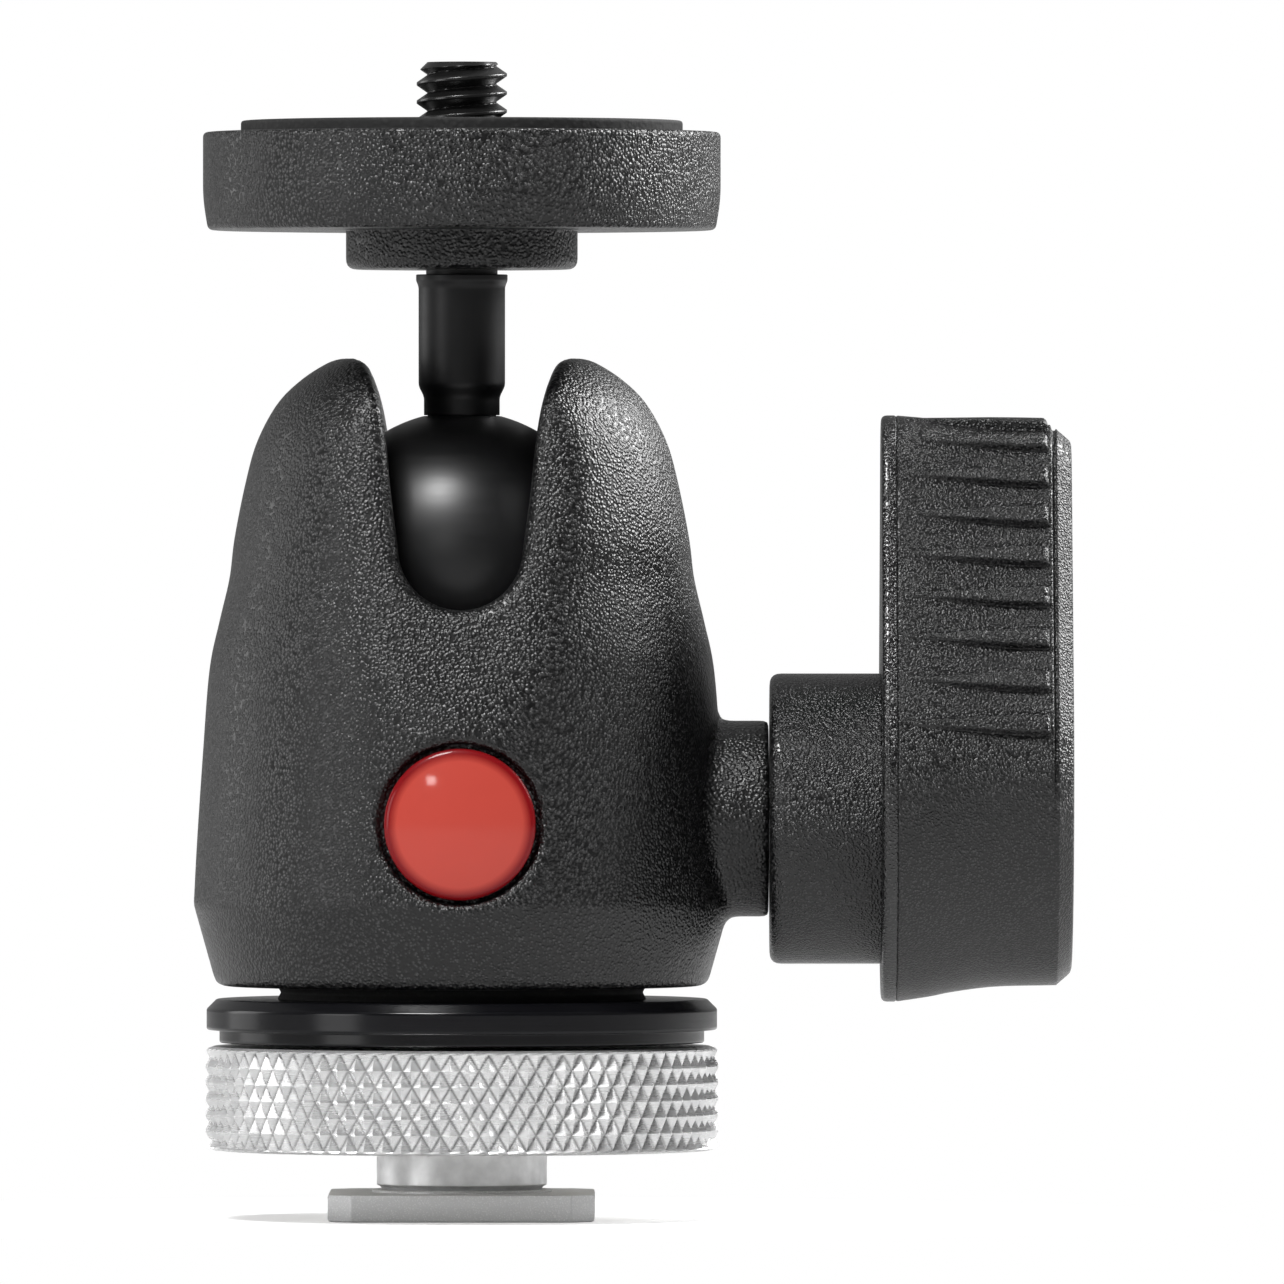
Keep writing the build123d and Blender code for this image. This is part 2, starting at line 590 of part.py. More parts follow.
# Nylon cup under the ball.
cup_inner_r = math.sqrt(SOCKET_R**2 - (BALL_Z - CUP_TOP) ** 2)
cup_floor_z = BALL_Z - math.sqrt(SOCKET_R**2 - CUP_HOLE_R**2)
with BuildPart() as ball_cup:
    with BuildSketch(Plane.XZ):
        with BuildLine():
            cup_wall = Polyline(
                (cup_inner_r, CUP_TOP),
                (SOCKET_R - SLIDING, CUP_TOP),
                (SOCKET_R - SLIDING, PLUNGER_TOP),
                (CUP_HOLE_R, PLUNGER_TOP),
                (CUP_HOLE_R, cup_floor_z),
            )
            RadiusArc(cup_wall @ 1, cup_wall @ 0, -SOCKET_R)
        make_face()
    revolve(axis=Axis.Z)
save(ball_cup.part, "ball_cup")

# ================================================================ knob
# The stud is the lock screw. Its pilot turns in the end of the wedge pin.
with BuildPart() as lock_stud:
    with BuildSketch(across(PIN_END - PILOT_LENGTH)):
        Circle(PILOT_R)
    extrude(amount=PILOT_LENGTH + PILOT_ROOM)
    with BuildSketch(across(PIN_END + PILOT_ROOM)):
        Circle(LOCK_THREAD_R)
    extrude(amount=STUD_SHOULDER - PIN_END - PILOT_ROOM)
    with BuildSketch(across(STUD_SHOULDER)):
        Circle(STUD_R)
    extrude(amount=HUB_SPIGOT_END - STUD_SET_BACK - STUD_SHOULDER)
    with BuildSketch(across(HUB_SPIGOT_END - STUD_SET_BACK)):
        Circle(KNOB_BOLT_R + FIXED_PLAY)
    extrude(amount=-KNOB_BOLT_LENGTH, mode=Mode.SUBTRACT)
save(lock_stud.part, "lock_stud")

with BuildPart() as knob_hub:
    with BuildSketch(across(HUB_START)):
        Circle(HUB_R)
    extrude(amount=HUB_END - HUB_START)
    fillet(faces().sort_by(Axis.X)[0].edges(), HUB_EDGE)
    with BuildSketch(across(HUB_END)):
        Circle(HUB_SPIGOT_R)
    extrude(amount=HUB_SPIGOT_END - HUB_END)
    with BuildSketch(across(HUB_START)):
        Circle(LOCK_THREAD_R + FIXED_PLAY)
    extrude(amount=STUD_SHOULDER - HUB_START, mode=Mode.SUBTRACT)
    with BuildSketch(across(STUD_SHOULDER)):
        Circle(STUD_R + FIXED_PLAY)
    extrude(amount=HUB_SPIGOT_END - STUD_SHOULDER, mode=Mode.SUBTRACT)
save(knob_hub.part, "knob_hub")


def teardrop(inset):
    """Outline of the grip, drawn inside its full outline by this much."""
    with Locations((0, KNOB_LOBE_RISE)):
        Circle(KNOB_LOBE_R - inset)
    with Locations((0, KNOB_NOSE_RISE)):
        Circle(KNOB_NOSE_R - inset)
    make_hull()


with BuildPart() as knob_back:
    with BuildSketch(across(HUB_END)):
        teardrop(0)
    extrude(amount=KNOB_BACK)
    fillet(faces().sort_by(Axis.X)[0].edges(), KNOB_BACK_EDGE)
    with BuildSketch(across(HUB_END)):
        Circle(HUB_SPIGOT_R + FIXED_PLAY)
    extrude(amount=KNOB_BACK, mode=Mode.SUBTRACT)
save(knob_back.part, "knob_back")

# Where the straight flank of the outline meets its two round ends
flank_lean = math.asin((KNOB_LOBE_R - KNOB_NOSE_R) / (KNOB_NOSE_RISE - KNOB_LOBE_RISE))
nose_arc = KNOB_NOSE_R * (math.pi / 2 - flank_lean)
flank_length = (KNOB_NOSE_RISE - KNOB_LOBE_RISE) * math.cos(flank_lean)


def outline_point(distance):
    """Point (y, z) and outward angle on the outline, this far round from the nose's top."""
    if distance < nose_arc:
        angle = math.pi / 2 - distance / KNOB_NOSE_R
        centre, radius, along = KNOB_NOSE_RISE, KNOB_NOSE_R, 0
    elif distance < nose_arc + flank_length:
        angle = flank_lean
        centre, radius, along = KNOB_NOSE_RISE, KNOB_NOSE_R, distance - nose_arc
    else:
        angle = flank_lean - (distance - nose_arc - flank_length) / KNOB_LOBE_R
        centre, radius, along = KNOB_LOBE_RISE, KNOB_LOBE_R, 0
    y = radius * math.cos(angle) + along * math.sin(flank_lean)
    z = centre + radius * math.sin(angle) - along * math.cos(flank_lean)
    return y, LOCK_Z + z, angle


# The grip is waisted along its flank. Wedge-shaped ribs round the nose run out to the full
# outline.
with BuildPart() as knob_grip:
    for share, inset in KNOB_FLANK:
        with BuildSketch(across(KNOB_START + share * KNOB_DEPTH)):
            teardrop(inset)
    loft()
    flank_share, flank_inset = KNOB_FLANK[-1]
    with BuildSketch(across(KNOB_START + flank_share * KNOB_DEPTH)):
        teardrop(flank_inset)
    extrude(amount=(1 - flank_share) * KNOB_DEPTH)
    grip_end = faces().sort_by(Axis.X)[-1]
    chamfer(grip_end.edges(), KNOB_BEVEL_IN, KNOB_BEVEL, reference=grip_end)
    for index in range(RIBS_EACH_SIDE):
        for side_sign in (1, -1):
            rib_y, rib_z, rib_angle = outline_point((index + 0.5) * RIB_PITCH)
            out = Vector(0, side_sign * math.cos(rib_angle), math.sin(rib_angle))
            rib_plane = Plane(
                origin=Vector(KNOB_START, side_sign * rib_y, rib_z) - out * RIB_INSET,
                x_dir=(1, 0, 0),
                z_dir=out,
            )
            with BuildSketch(rib_plane):
                Polygon(
                    (RIB_START, 0),
                    (RIB_FULL, RIB_WIDTH / 2),
                    (RIB_END, RIB_WIDTH / 2),
                    (RIB_END, -RIB_WIDTH / 2),
                    (RIB_FULL, -RIB_WIDTH / 2),
                    align=None,
                )
            extrude(amount=-RIB_ROOT)
    with BuildSketch(across(KNOB_START)):
        Circle(HUB_SPIGOT_R + FIXED_PLAY)
    extrude(amount=HUB_SPIGOT_END - KNOB_START, mode=Mode.SUBTRACT)
    with BuildSketch(across(HUB_SPIGOT_END)):
        Circle(KNOB_WELL_R)
    extrude(amount=KNOB_END - HUB_SPIGOT_END, mode=Mode.SUBTRACT)
    with BuildSketch(across(CAP_SEAT)):
        Circle(CAP_R + FIXED_PLAY)
    extrude(amount=KNOB_END - CAP_SEAT, mode=Mode.SUBTRACT)
save(knob_grip.part, "knob_grip")

with BuildPart() as knob_washer:
    with BuildSketch(across(HUB_SPIGOT_END)):
        Circle(KNOB_WASHER_R)
        Circle(KNOB_BOLT_R + FIXED_PLAY, mode=Mode.SUBTRACT)
    extrude(amount=KNOB_WASHER_THICKNESS)
save(knob_washer.part, "knob_washer")

bolt_seat = HUB_SPIGOT_END + KNOB_WASHER_THICKNESS
with BuildPart() as knob_bolt:
    with BuildSketch(across(bolt_seat)):
        Circle(KNOB_BOLT_R)
    extrude(amount=-KNOB_BOLT_LENGTH)
    with BuildSketch(across(bolt_seat)):
        Circle(KNOB_BOLT_HEAD_R)
    extrude(amount=KNOB_BOLT_HEAD)
    with BuildSketch(across(bolt_seat + KNOB_BOLT_HEAD)):
        RegularPolygon(KNOB_BOLT_KEY_R, 6)
    extrude(amount=-KNOB_BOLT_KEY_DEPTH, mode=Mode.SUBTRACT)
save(knob_bolt.part, "knob_bolt")

with BuildPart() as knob_cap:
    with BuildSketch(across(CAP_SEAT)):
        Circle(CAP_R)
    extrude(amount=CAP_THICKNESS)
    chamfer(faces().sort_by(Axis.X)[-1].edges(), CAP_EDGE)
save(knob_cap.part, "knob_cap")

# ================================================================ ball, stem and platform
neck_seat_z = BALL_Z + math.sqrt(BALL_R**2 - NECK_R**2)
neck_bottom_z = neck_seat_z + NECK_SEAT_PLAY
with BuildPart() as ball:
    with Locations((0, 0, BALL_Z)):
        Sphere(BALL_R)
    with BuildSketch(Plane.XY.offset(neck_seat_z)):
        Circle(BALL_R)
    extrude(amount=BALL_R, mode=Mode.SUBTRACT)
    with BuildSketch(Plane.XY.offset(neck_seat_z)):
        Circle(STEM_TAIL_R + RUNNING)
    extrude(amount=STEM_TAIL_BOTTOM - LINE_GAP - neck_seat_z, mode=Mode.SUBTRACT)
save(ball.part, "ball")

with BuildPart() as stem:
    with BuildSketch(Plane.XZ):
        with BuildLine():
            Polyline(
                (0, STEM_TAIL_BOTTOM),
                (STEM_TAIL_R, STEM_TAIL_BOTTOM),
                (STEM_TAIL_R, neck_bottom_z),
                (NECK_R, neck_bottom_z),
                (NECK_R, NECK_TOP),
                (STEM_R, STEM_TAPER_TOP),
                (STEM_R, STEM_LIP_BOTTOM - 2 * STEM_LIP),
                (STEM_LIP_R, STEM_LIP_BOTTOM),
                (STEM_LIP_R, STEM_LIP_TOP),
                (GROOVE_R, STEM_LIP_TOP),
                (GROOVE_R, HUB_PLATE_BOTTOM),
                (TENON_R, HUB_PLATE_BOTTOM),
                (TENON_R, TENON_TOP),
                (0, TENON_TOP),
                close=True,
            )
        make_face()
    revolve(axis=Axis.Z)
save(stem.part, "stem")

# Turned platform with a hub below and a seat for the rubber pad on top.
with BuildPart() as top_plate:
    with BuildSketch(Plane.XZ):
        with BuildLine():
            Polyline(
                (0, HUB_PLATE_BOTTOM),
                (HUB_PLATE_R, HUB_PLATE_BOTTOM),
                (HUB_PLATE_R, PLATE_BOTTOM),
                (PLATE_R - PLATE_TAPER[0] - PLATE_EDGE, PLATE_BOTTOM),
                (PLATE_R - PLATE_TAPER[0], PLATE_BOTTOM + PLATE_EDGE),
                (PLATE_R, PLATE_BOTTOM + PLATE_TAPER[1]),
                (PLATE_R, PLATE_TOP - PLATE_EDGE),
                (PLATE_R - PLATE_EDGE, PLATE_TOP),
                (PAD_R + FIXED_PLAY, PLATE_TOP),
                (PAD_R + FIXED_PLAY, PLATE_TOP - PAD_SEAT),
                (0, PLATE_TOP - PAD_SEAT),
                close=True,
            )
        make_face()
    revolve(axis=Axis.Z)
    fillet(faces().sort_by(Axis.Z)[0].edges(), HUB_PLATE_EDGE)
    with BuildSketch(Plane.XY.offset(HUB_PLATE_BOTTOM)):
        Circle(TENON_R + FIXED_PLAY)
    extrude(amount=TENON_LENGTH + TENON_ROOM, mode=Mode.SUBTRACT)
    with BuildSketch(Plane.XY.offset(CAMERA_SCREW_BOTTOM)):
        Circle(CAMERA_SCREW_TAIL_R + FIXED_PLAY)
    extrude(amount=CAMERA_SCREW_SEAT, mode=Mode.SUBTRACT)
save(top_plate.part, "top_plate")

with BuildPart() as rubber_pad:
    with BuildSketch(Plane.XY.offset(PLATE_TOP - PAD_SEAT)):
        Circle(PAD_R)
        Circle(PAD_HOLE_R, mode=Mode.SUBTRACT)
    extrude(amount=PAD_SEAT + PAD_PROUD)
    chamfer(faces().sort_by(Axis.Z)[-1].outer_wire().edges(), PAD_EDGE)
save(rubber_pad.part, "rubber_pad")

# The camera screw's tail is pressed into the platform. Its thread starts level with the pad.
with BuildPart() as camera_screw:
    with BuildSketch(Plane.XY.offset(CAMERA_SCREW_BOTTOM)):
        Circle(CAMERA_SCREW_TAIL_R)
    extrude(amount=PAD_TOP - CAMERA_SCREW_BOTTOM)
    with BuildSketch(Plane.XY.offset(PAD_TOP)):
        Circle(CAMERA_THREAD_R)
    extrude(amount=CAMERA_SCREW_REACH)
    chamfer(faces().sort_by(Axis.Z)[-1].edges(), CAMERA_SCREW_CHAMFER)
save(camera_screw.part, "camera_screw")
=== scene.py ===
# %% [markdown]
# # A mini ball head on an accessory-shoe clamp
#
# The solids come from the CAD model and keep their size and place. This file dresses them.
# Each visible piece is worked out again as a fine, smooth surface with numpy, and gets the
# finish that the real piece has: pebbled powder coat, knurled aluminium, blackened metal,
# moulded plastic, rubber, or a glossy badge. Lengths are in millimetres until a mesh is made.

# %% Load the frame
import math

import bpy
import numpy as np
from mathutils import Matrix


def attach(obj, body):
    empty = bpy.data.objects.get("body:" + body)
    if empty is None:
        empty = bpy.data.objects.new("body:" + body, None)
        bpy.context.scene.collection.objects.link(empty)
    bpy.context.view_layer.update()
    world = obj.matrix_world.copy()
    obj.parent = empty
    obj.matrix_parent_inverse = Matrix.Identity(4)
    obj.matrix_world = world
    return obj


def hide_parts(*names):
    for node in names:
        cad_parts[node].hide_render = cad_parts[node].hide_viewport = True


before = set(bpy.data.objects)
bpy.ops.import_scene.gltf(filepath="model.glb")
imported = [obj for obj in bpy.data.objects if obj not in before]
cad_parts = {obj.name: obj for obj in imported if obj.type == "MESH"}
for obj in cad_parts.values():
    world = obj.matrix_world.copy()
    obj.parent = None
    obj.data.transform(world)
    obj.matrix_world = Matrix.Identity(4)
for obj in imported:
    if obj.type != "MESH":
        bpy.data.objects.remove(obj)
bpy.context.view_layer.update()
MM = 0.001


# %% [markdown]
# ## One way to make every piece
#
# A lathe, a mould and a saw all leave shapes that can be described as a stack of closed
# rings: circles for a turned part, a teardrop for the knob, a square with cut corners for
# the foot. So one helper joins a stack of rings into a mesh. If the last ring meets the
# first, the piece has a hole through it. Otherwise each end is closed by a single point.
# The sign of the enclosed volume tells whether the faces point outwards, and the helper
# turns them round if they don't.


# %% Mesh helpers
def make_mesh(name, points, quads, triangles=(), sharp=38.0):
    """Make an object from an array of points in mm and arrays of four and three corners.

    The enclosed volume is the sum of p0 . (p1 x p2) / 6 over the triangles. A negative sum
    means the faces point inwards, and then every face is reversed.
    """
    points = np.asarray(points, float)
    quads = np.asarray(quads, int).reshape(-1, 4)
    triangles = np.asarray(triangles, int).reshape(-1, 3)
    halves = np.concatenate([quads[:, [0, 1, 2]], quads[:, [0, 2, 3]], triangles])
    a, b, c = (points[halves[:, i]] for i in range(3))
    if np.einsum("ij,ij->i", a, np.cross(b, c)).sum() < 0:
        quads, triangles = quads[:, ::-1], triangles[:, ::-1]
    mesh = bpy.data.meshes.new(name)
    mesh.from_pydata((points * MM).tolist(), [], quads.tolist() + triangles.tolist())
    mesh.shade_smooth()
    mesh.set_sharp_from_angle(angle=math.radians(sharp))
    piece = bpy.data.objects.new(name, mesh)
    bpy.context.scene.collection.objects.link(piece)
    print(f"{name}: {2 * len(quads) + len(triangles)} triangles")
    return piece


def join_rings(name, rings, hollow, sharp=38.0):
    """Join a stack of rings, an array (rings, points, 3), into a closed mesh.

    Point j of ring i is joined to point j + 1 of the same ring and to the same two points
    of the next ring. A hollow piece joins its last ring to its first. A solid piece closes
    each end with a fan of triangles round the end ring's middle.
    """
    rings = np.asarray(rings, float)
    count, around = rings.shape[:2]
    index = np.arange(count * around).reshape(count, around)
    lower = index if hollow else index[:-1]
    upper = np.roll(index, -1, 0) if hollow else index[1:]
    quads = np.stack([lower, np.roll(lower, -1, 1), np.roll(upper, -1, 1), upper], -1)
    points = rings.reshape(-1, 3)
    fans = ()
    if not hollow:
        points = np.concatenate([points, rings[[0, -1]].mean(1)])
        first, last = index[0], index[-1]
        bottom = np.full(around, count * around)
        below = np.stack([np.roll(first, -1), first, bottom], -1)
        above = np.stack([last, np.roll(last, -1), bottom + 1], -1)
        fans = np.concatenate([below, above])
    return make_mesh(name, points, quads.reshape(-1, 4), fans, sharp)


PAD = 0.05


def eased(corners, closed):
    """Round the corners of a profile, given as (x, y, radius).

    Each corner is replaced by the curve (1-t)^2 A + 2t(1-t) P + t^2 B between two points A
    and B that lie on its sides, one radius away from the corner P. A plain point PAD beyond
    A and B keeps the flat sides flat under smooth shading.
    """
    data = np.array(corners, float)
    spots, radii = data[:, :2], data[:, 2]
    out = []
    for i, (spot, radius) in enumerate(zip(spots, radii)):
        if radius <= 0 or (not closed and i in (0, len(spots) - 1)):
            out.append(spot[None])
            continue
        before, after = spots[i - 1] - spot, spots[(i + 1) % len(spots)] - spot
        reach = [np.hypot(*before), np.hypot(*after)]
        radius = min(radius, reach[0] * 0.48, reach[1] * 0.48)
        a, b = spot + before / reach[0] * radius, spot + after / reach[1] * radius
        t = np.linspace(0, 1, 6)[:, None]
        curve = (1 - t) ** 2 * a + 2 * t * (1 - t) * spot + t**2 * b
        pads = [min(PAD, (reach[n] * 0.5 - radius) * 0.5) for n in (0, 1)]
        start, end = a + before / reach[0] * pads[0], b + after / reach[1] * pads[1]
        out.append(np.concatenate([start[None], curve, end[None]]))
    return np.concatenate(out)


AXIS = 0.001  # mm: a profile of a solid piece starts and ends just off the axis


def turned(name, corners, along="Z", centre=(0.0, 0.0), around=192, hollow=False):
    """A lathe-turned piece from a profile of (radius, distance along the axis, rounding).

    A ring is centre + radius (cos a, sin a) at each profile point, with a running once round.
    """
    profile = eased(corners, hollow)
    angle = np.linspace(0, 2 * math.pi, around, endpoint=False)
    across = profile[:, 0, None] * np.cos(angle), profile[:, 0, None] * np.sin(angle)
    depth = np.repeat(profile[:, 1, None], around, 1)
    if along == "Z":
        rings = np.stack([centre[0] + across[0], centre[1] + across[1], depth], -1)
    elif along == "X":
        rings = np.stack([depth, centre[0] + across[0], centre[1] + across[1]], -1)
    else:
        rings = np.stack([centre[0] + across[0], depth, centre[1] + across[1]], -1)
    return join_rings(name, rings, hollow)


def dress(piece, body, slot, material, *nodes):
    """Put a finished surface in the place of CAD nodes, on their body, with its finish."""
    piece.data.materials.append(material)
    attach(piece, body)
    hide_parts(*nodes)


# %% [markdown]
# ## Finishes
#
# Every finish is a small node graph in Object coordinates, so it stays with its piece and
# has its real scale. Powder coat on castings is a skin of tiny domes with fine valleys
# between them, so the domes come from a Voronoi pattern about a quarter of a millimetre
# across, softened by noise. Turned metal shows fine rings round its axis: noise that is
# squeezed along the axis and drawn out round it. Plastic has a finer grain than the paint.


# %% Node helpers
def add(tree, kind, values=None, inputs=None, **settings):
    """Add a node, set its properties and sockets, and link what feeds it."""
    node = tree.nodes.new(kind)
    for key, value in settings.items():
        setattr(node, key, value)
    for key, value in (values or {}).items():
        node.inputs[key].default_value = value
    for key, source in (inputs or {}).items():
        tree.links.new(source, node.inputs[key])
    return node


def new_material(name, colour, roughness, metallic=0.0, specular=0.5):
    """A material with one Principled shader, whose uniform numbers sit on its sockets.

    It comes back with its node tree, its shader and the socket of Object coordinates.
    """
    material = bpy.data.materials.new(name)
    material.use_nodes = True
    shader = material.node_tree.nodes["Principled BSDF"]
    shader.inputs["Base Color"].default_value = (*colour, 1)
    shader.inputs["Roughness"].default_value = roughness
    shader.inputs["Metallic"].default_value = metallic
    shader.inputs["Specular IOR Level"].default_value = specular
    where = add(material.node_tree, "ShaderNodeTexCoord").outputs["Object"]
    return material, material.node_tree, shader, where


def tinted(tree, source, low, high, colours):
    """Turn a grey value into a colour between two others, over part of its range."""
    ramp = add(tree, "ShaderNodeValToRGB", inputs={"Fac": source})
    ramp.color_ramp.elements[0].position, ramp.color_ramp.elements[1].position = low, high
    for element, colour in zip(ramp.color_ramp.elements, colours):
        element.color = (*colour, 1)
    return ramp.outputs["Color"]


def spread(tree, source, low, high, start=0.0, end=1.0):
    """Map a value from start..end to low..high."""
    values = {"From Min": start, "From Max": end, "To Min": low, "To Max": high}
    return add(tree, "ShaderNodeMapRange", values, {"Value": source}).outputs["Result"]


def noise(tree, where, scale, detail, roughness=0.5):
    """Noise of scale features to a metre, with finer noise laid over it `detail` times."""
    values = {"Scale": scale, "Detail": detail, "Roughness": roughness}
    return add(tree, "ShaderNodeTexNoise", values, {"Vector": where}).outputs["Fac"]


def length_of(tree, vector):
    """The length of a vector."""
    node = add(tree, "ShaderNodeVectorMath", inputs={0: vector}, operation="LENGTH")
    return node.outputs["Value"]


def emboss(tree, shader, height, strength, depth_mm):
    """Shade the surface as if it rose by depth_mm where height is 1."""
    values = {"Strength": strength, "Distance": depth_mm * MM}
    bump = add(tree, "ShaderNodeBump", values, {"Height": height})
    tree.links.new(bump.outputs["Normal"], shader.inputs["Normal"])


# %% Powder coat, plastic and rubber
VALLEY, CELL_SHARE = 1.7, 1.15
# The tone limits paint the valleys of the grain darker than the dome tops: painted shade.
HEIGHT_LOW, HEIGHT_HIGH, VALLEY_SHADE_LOW, VALLEY_SHADE_HIGH = -0.7, 0.5, 0.4, 0.8
WEAR_SCALE, WEAR = 260.0, 0.07


def powder_coat(name, dark, light, roughness, grain_mm, depth_mm, specular=0.5, metallic=0.0):
    """Pebbled paint: domes of about grain_mm, their height depth_mm.

    The height is noise less VALLEY times a smooth Voronoi distance of about the same size.
    The valleys are painted a little darker than the tops of the domes, as painted shade in
    the pits, and a much broader noise makes some places smoother than others.
    """
    material, tree, shader, where = new_material(name, dark, roughness, metallic, specular)
    softening = noise(tree, where, 1.0 / (grain_mm * MM), 3.0, 0.62)
    cells = add(
        tree,
        "ShaderNodeTexVoronoi",
        {"Scale": CELL_SHARE / (grain_mm * MM), "Smoothness": 0.3, "Randomness": 1.0},
        {"Vector": where},
        feature="SMOOTH_F1",
    )
    domes = add(
        tree,
        "ShaderNodeMath",
        {1: -VALLEY},
        {0: cells.outputs["Distance"], 2: softening},
        operation="MULTIPLY_ADD",
    )
    height = spread(tree, domes.outputs[0], 0.0, 1.0, HEIGHT_LOW, HEIGHT_HIGH)
    # painted shade: the colour runs from dark in the valleys of the grain to light on the dome tops
    tone = tinted(tree, height, VALLEY_SHADE_LOW, VALLEY_SHADE_HIGH, (dark, light))
    tree.links.new(tone, shader.inputs["Base Color"])
    wear = noise(tree, where, WEAR_SCALE, 2.0)
    worn = spread(tree, wear, roughness - WEAR, roughness + WEAR)
    tree.links.new(worn, shader.inputs["Roughness"])
    emboss(tree, shader, height, 1.0, depth_mm)
    return material


COAT = (0.001, 0.001, 0.0012), (0.036, 0.036, 0.0365)
PAINT = powder_coat("black_powder_coat", *COAT, 0.33, 0.27, 0.072, 0.6)
PLATE_PAINT = powder_coat("platform_powder_coat", *COAT, 0.32, 0.28, 0.1, 0.6)
GRIP = powder_coat("moulded_grip", *COAT, 0.3, 0.2, 0.068, 0.6)
BACK = powder_coat("moulded_back", *COAT, 0.26, 0.22, 0.065, 0.8)
HUB = powder_coat("moulded_hub", *COAT, 0.26, 0.21, 0.072, 0.64)
RUBBER = powder_coat("pad_rubber", (0.012,) * 3, (0.022,) * 3, 0.78, 0.5, 0.03)
SPACER = powder_coat("spacer_rubber", (0.008,) * 3, (0.015,) * 3, 0.7, 0.4, 0.01)


# %% Metals
LINE_STRETCH, LINE_SMOOTH, LINE_ROUGH = 0.04, 0.08, 0.1
CLOUD_SCALE, CLOUD_LOW, CLOUD_HIGH, CLOUD_DULL, CLOUD_PALE = 700.0, 0.35, 0.7, 0.86, 1.12


def turned_metal(name, colour, roughness, axis, line_mm, depth_mm, metallic=1.0, specular=0.5):
    """Metal with fine tool rings about line_mm apart and depth_mm deep.

    The rings are noise whose coordinates across the axis are scaled by LINE_STRETCH, so it
    changes quickly along the axis and slowly round it. A cloudy noise makes the colour
    CLOUD_DULL to CLOUD_PALE times as bright.
    """
    material, tree, shader, where = new_material(name, colour, roughness, metallic, specular)
    stretch = [1 if letter == axis else LINE_STRETCH for letter in "XYZ"]
    scale = tuple(value / (line_mm * MM) for value in stretch)
    mapping = add(tree, "ShaderNodeMapping", {"Scale": scale}, {"Vector": where})
    lines = noise(tree, mapping.outputs["Vector"], 1.0, 4.0, 0.7)
    cloud = noise(tree, where, CLOUD_SCALE, 4.0)
    pale = tuple(min(1.0, value * CLOUD_PALE) for value in colour)
    dull = tuple(value * CLOUD_DULL for value in colour)
    tone = tinted(tree, cloud, CLOUD_LOW, CLOUD_HIGH, (dull, pale))
    tree.links.new(tone, shader.inputs["Base Color"])
    sheen = spread(tree, lines, roughness - LINE_SMOOTH, roughness + LINE_ROUGH)
    tree.links.new(sheen, shader.inputs["Roughness"])
    emboss(tree, shader, lines, 0.8, depth_mm)
    return material


def blackened(name, colour, roughness, line_mm, depth_mm, specular):
    """Turned metal under a black skin that reflects like lacquer, not like metal."""
    return turned_metal(name, colour, roughness, "Z", line_mm, depth_mm, 0.0, specular)


ALUMINIUM = turned_metal(
    "knurled_aluminium", (0.95, 0.953, 0.957), 0.26, "Z", 0.5, 0.004, metallic=0.74
)
SPINDLE = turned_metal(
    "turned_aluminium", (0.8, 0.803, 0.808), 0.34, "Z", 0.12, 0.006, metallic=0.8
)
BLASTED_COLOURS = (0.70, 0.702, 0.705), (0.85, 0.852, 0.855)
BLASTED = powder_coat("blasted_aluminium", *BLASTED_COLOURS, 0.42, 0.16, 0.012, metallic=0.4)
ANODISED = blackened("black_anodised", (0.003, 0.003, 0.004), 0.18, 0.3, 0.002, 0.32)
BALL_FINISH = blackened("black_ball", (0.004, 0.004, 0.0045), 0.38, 0.6, 0.001, 0.6)
STEM_FINISH = blackened("black_stem", (0.003, 0.003, 0.0035), 0.42, 0.35, 0.004, 0.35)
SCREW_FINISH = blackened("black_screw", (0.006, 0.006, 0.006), 0.28, 0.2, 0.002, 0.7)
STEEL = turned_metal("plated_steel", (0.55, 0.55, 0.57), 0.28, "X", 0.2, 0.003)
BRASS = turned_metal("turned_brass", (0.78, 0.55, 0.22), 0.3, "X", 0.2, 0.003)
NYLON = powder_coat("moulded_nylon", (0.74, 0.72, 0.67), (0.84, 0.83, 0.79), 0.45, 0.5, 0.004)
CAP_COLOURS = (0.012, 0.012, 0.013), (0.02, 0.02, 0.021)
CAP_FINISH = powder_coat("knob_cap", *CAP_COLOURS, 0.42, 0.3, 0.008)

# %% Badge
BADGE, badge_tree, badge_shader, badge_where = new_material(
    "red_badge", (0.4, 0.03, 0.02), 0.4, specular=0.1
)
badge_shader.inputs["Coat Weight"].default_value = 0.35
badge_shader.inputs["Coat Roughness"].default_value = 0.08
print("finishes ready:", len(bpy.data.materials))


# %% [markdown]
# ## Camera, floor and light
#
# A small part looks right through a long lens from well back, where its round edges look
# almost flat. The camera stands a little over a metre and a half in front, level with the
# ball. The key light is a square box high in front. Tall boxes light the sides and, from
# behind, the edges, and a small one near the camera gives glossy faces their point of
# light. The room is white to the camera but dimmer to reflections, and dimmest in front,
# so black paint keeps its depth. The floor turns to the same white a few centimetres from
# the foot, which leaves only a soft shadow.

# %% Camera
CAMERA_DISTANCE, CAMERA_HEIGHT = 1620.0, 48.0
AIM_X, AIM_HEIGHT = 12.6, 40.35
VIEW_WIDTH, SENSOR = 89.8, 36.0
camera_data = bpy.data.cameras.new("camera")
camera_data.sensor_width = SENSOR
camera_data.lens = SENSOR * CAMERA_DISTANCE / VIEW_WIDTH
camera_data.clip_start, camera_data.clip_end = 0.05, 20.0
camera = bpy.data.objects.new("camera", camera_data)
bpy.context.scene.collection.objects.link(camera)
camera.location = (AIM_X * MM, -CAMERA_DISTANCE * MM, CAMERA_HEIGHT * MM)
tilt = math.atan((CAMERA_HEIGHT - AIM_HEIGHT) / CAMERA_DISTANCE)
camera.rotation_euler = (math.pi / 2 - tilt, 0, 0)
bpy.context.scene.camera = camera
bpy.context.scene.view_settings.view_transform = "Standard"


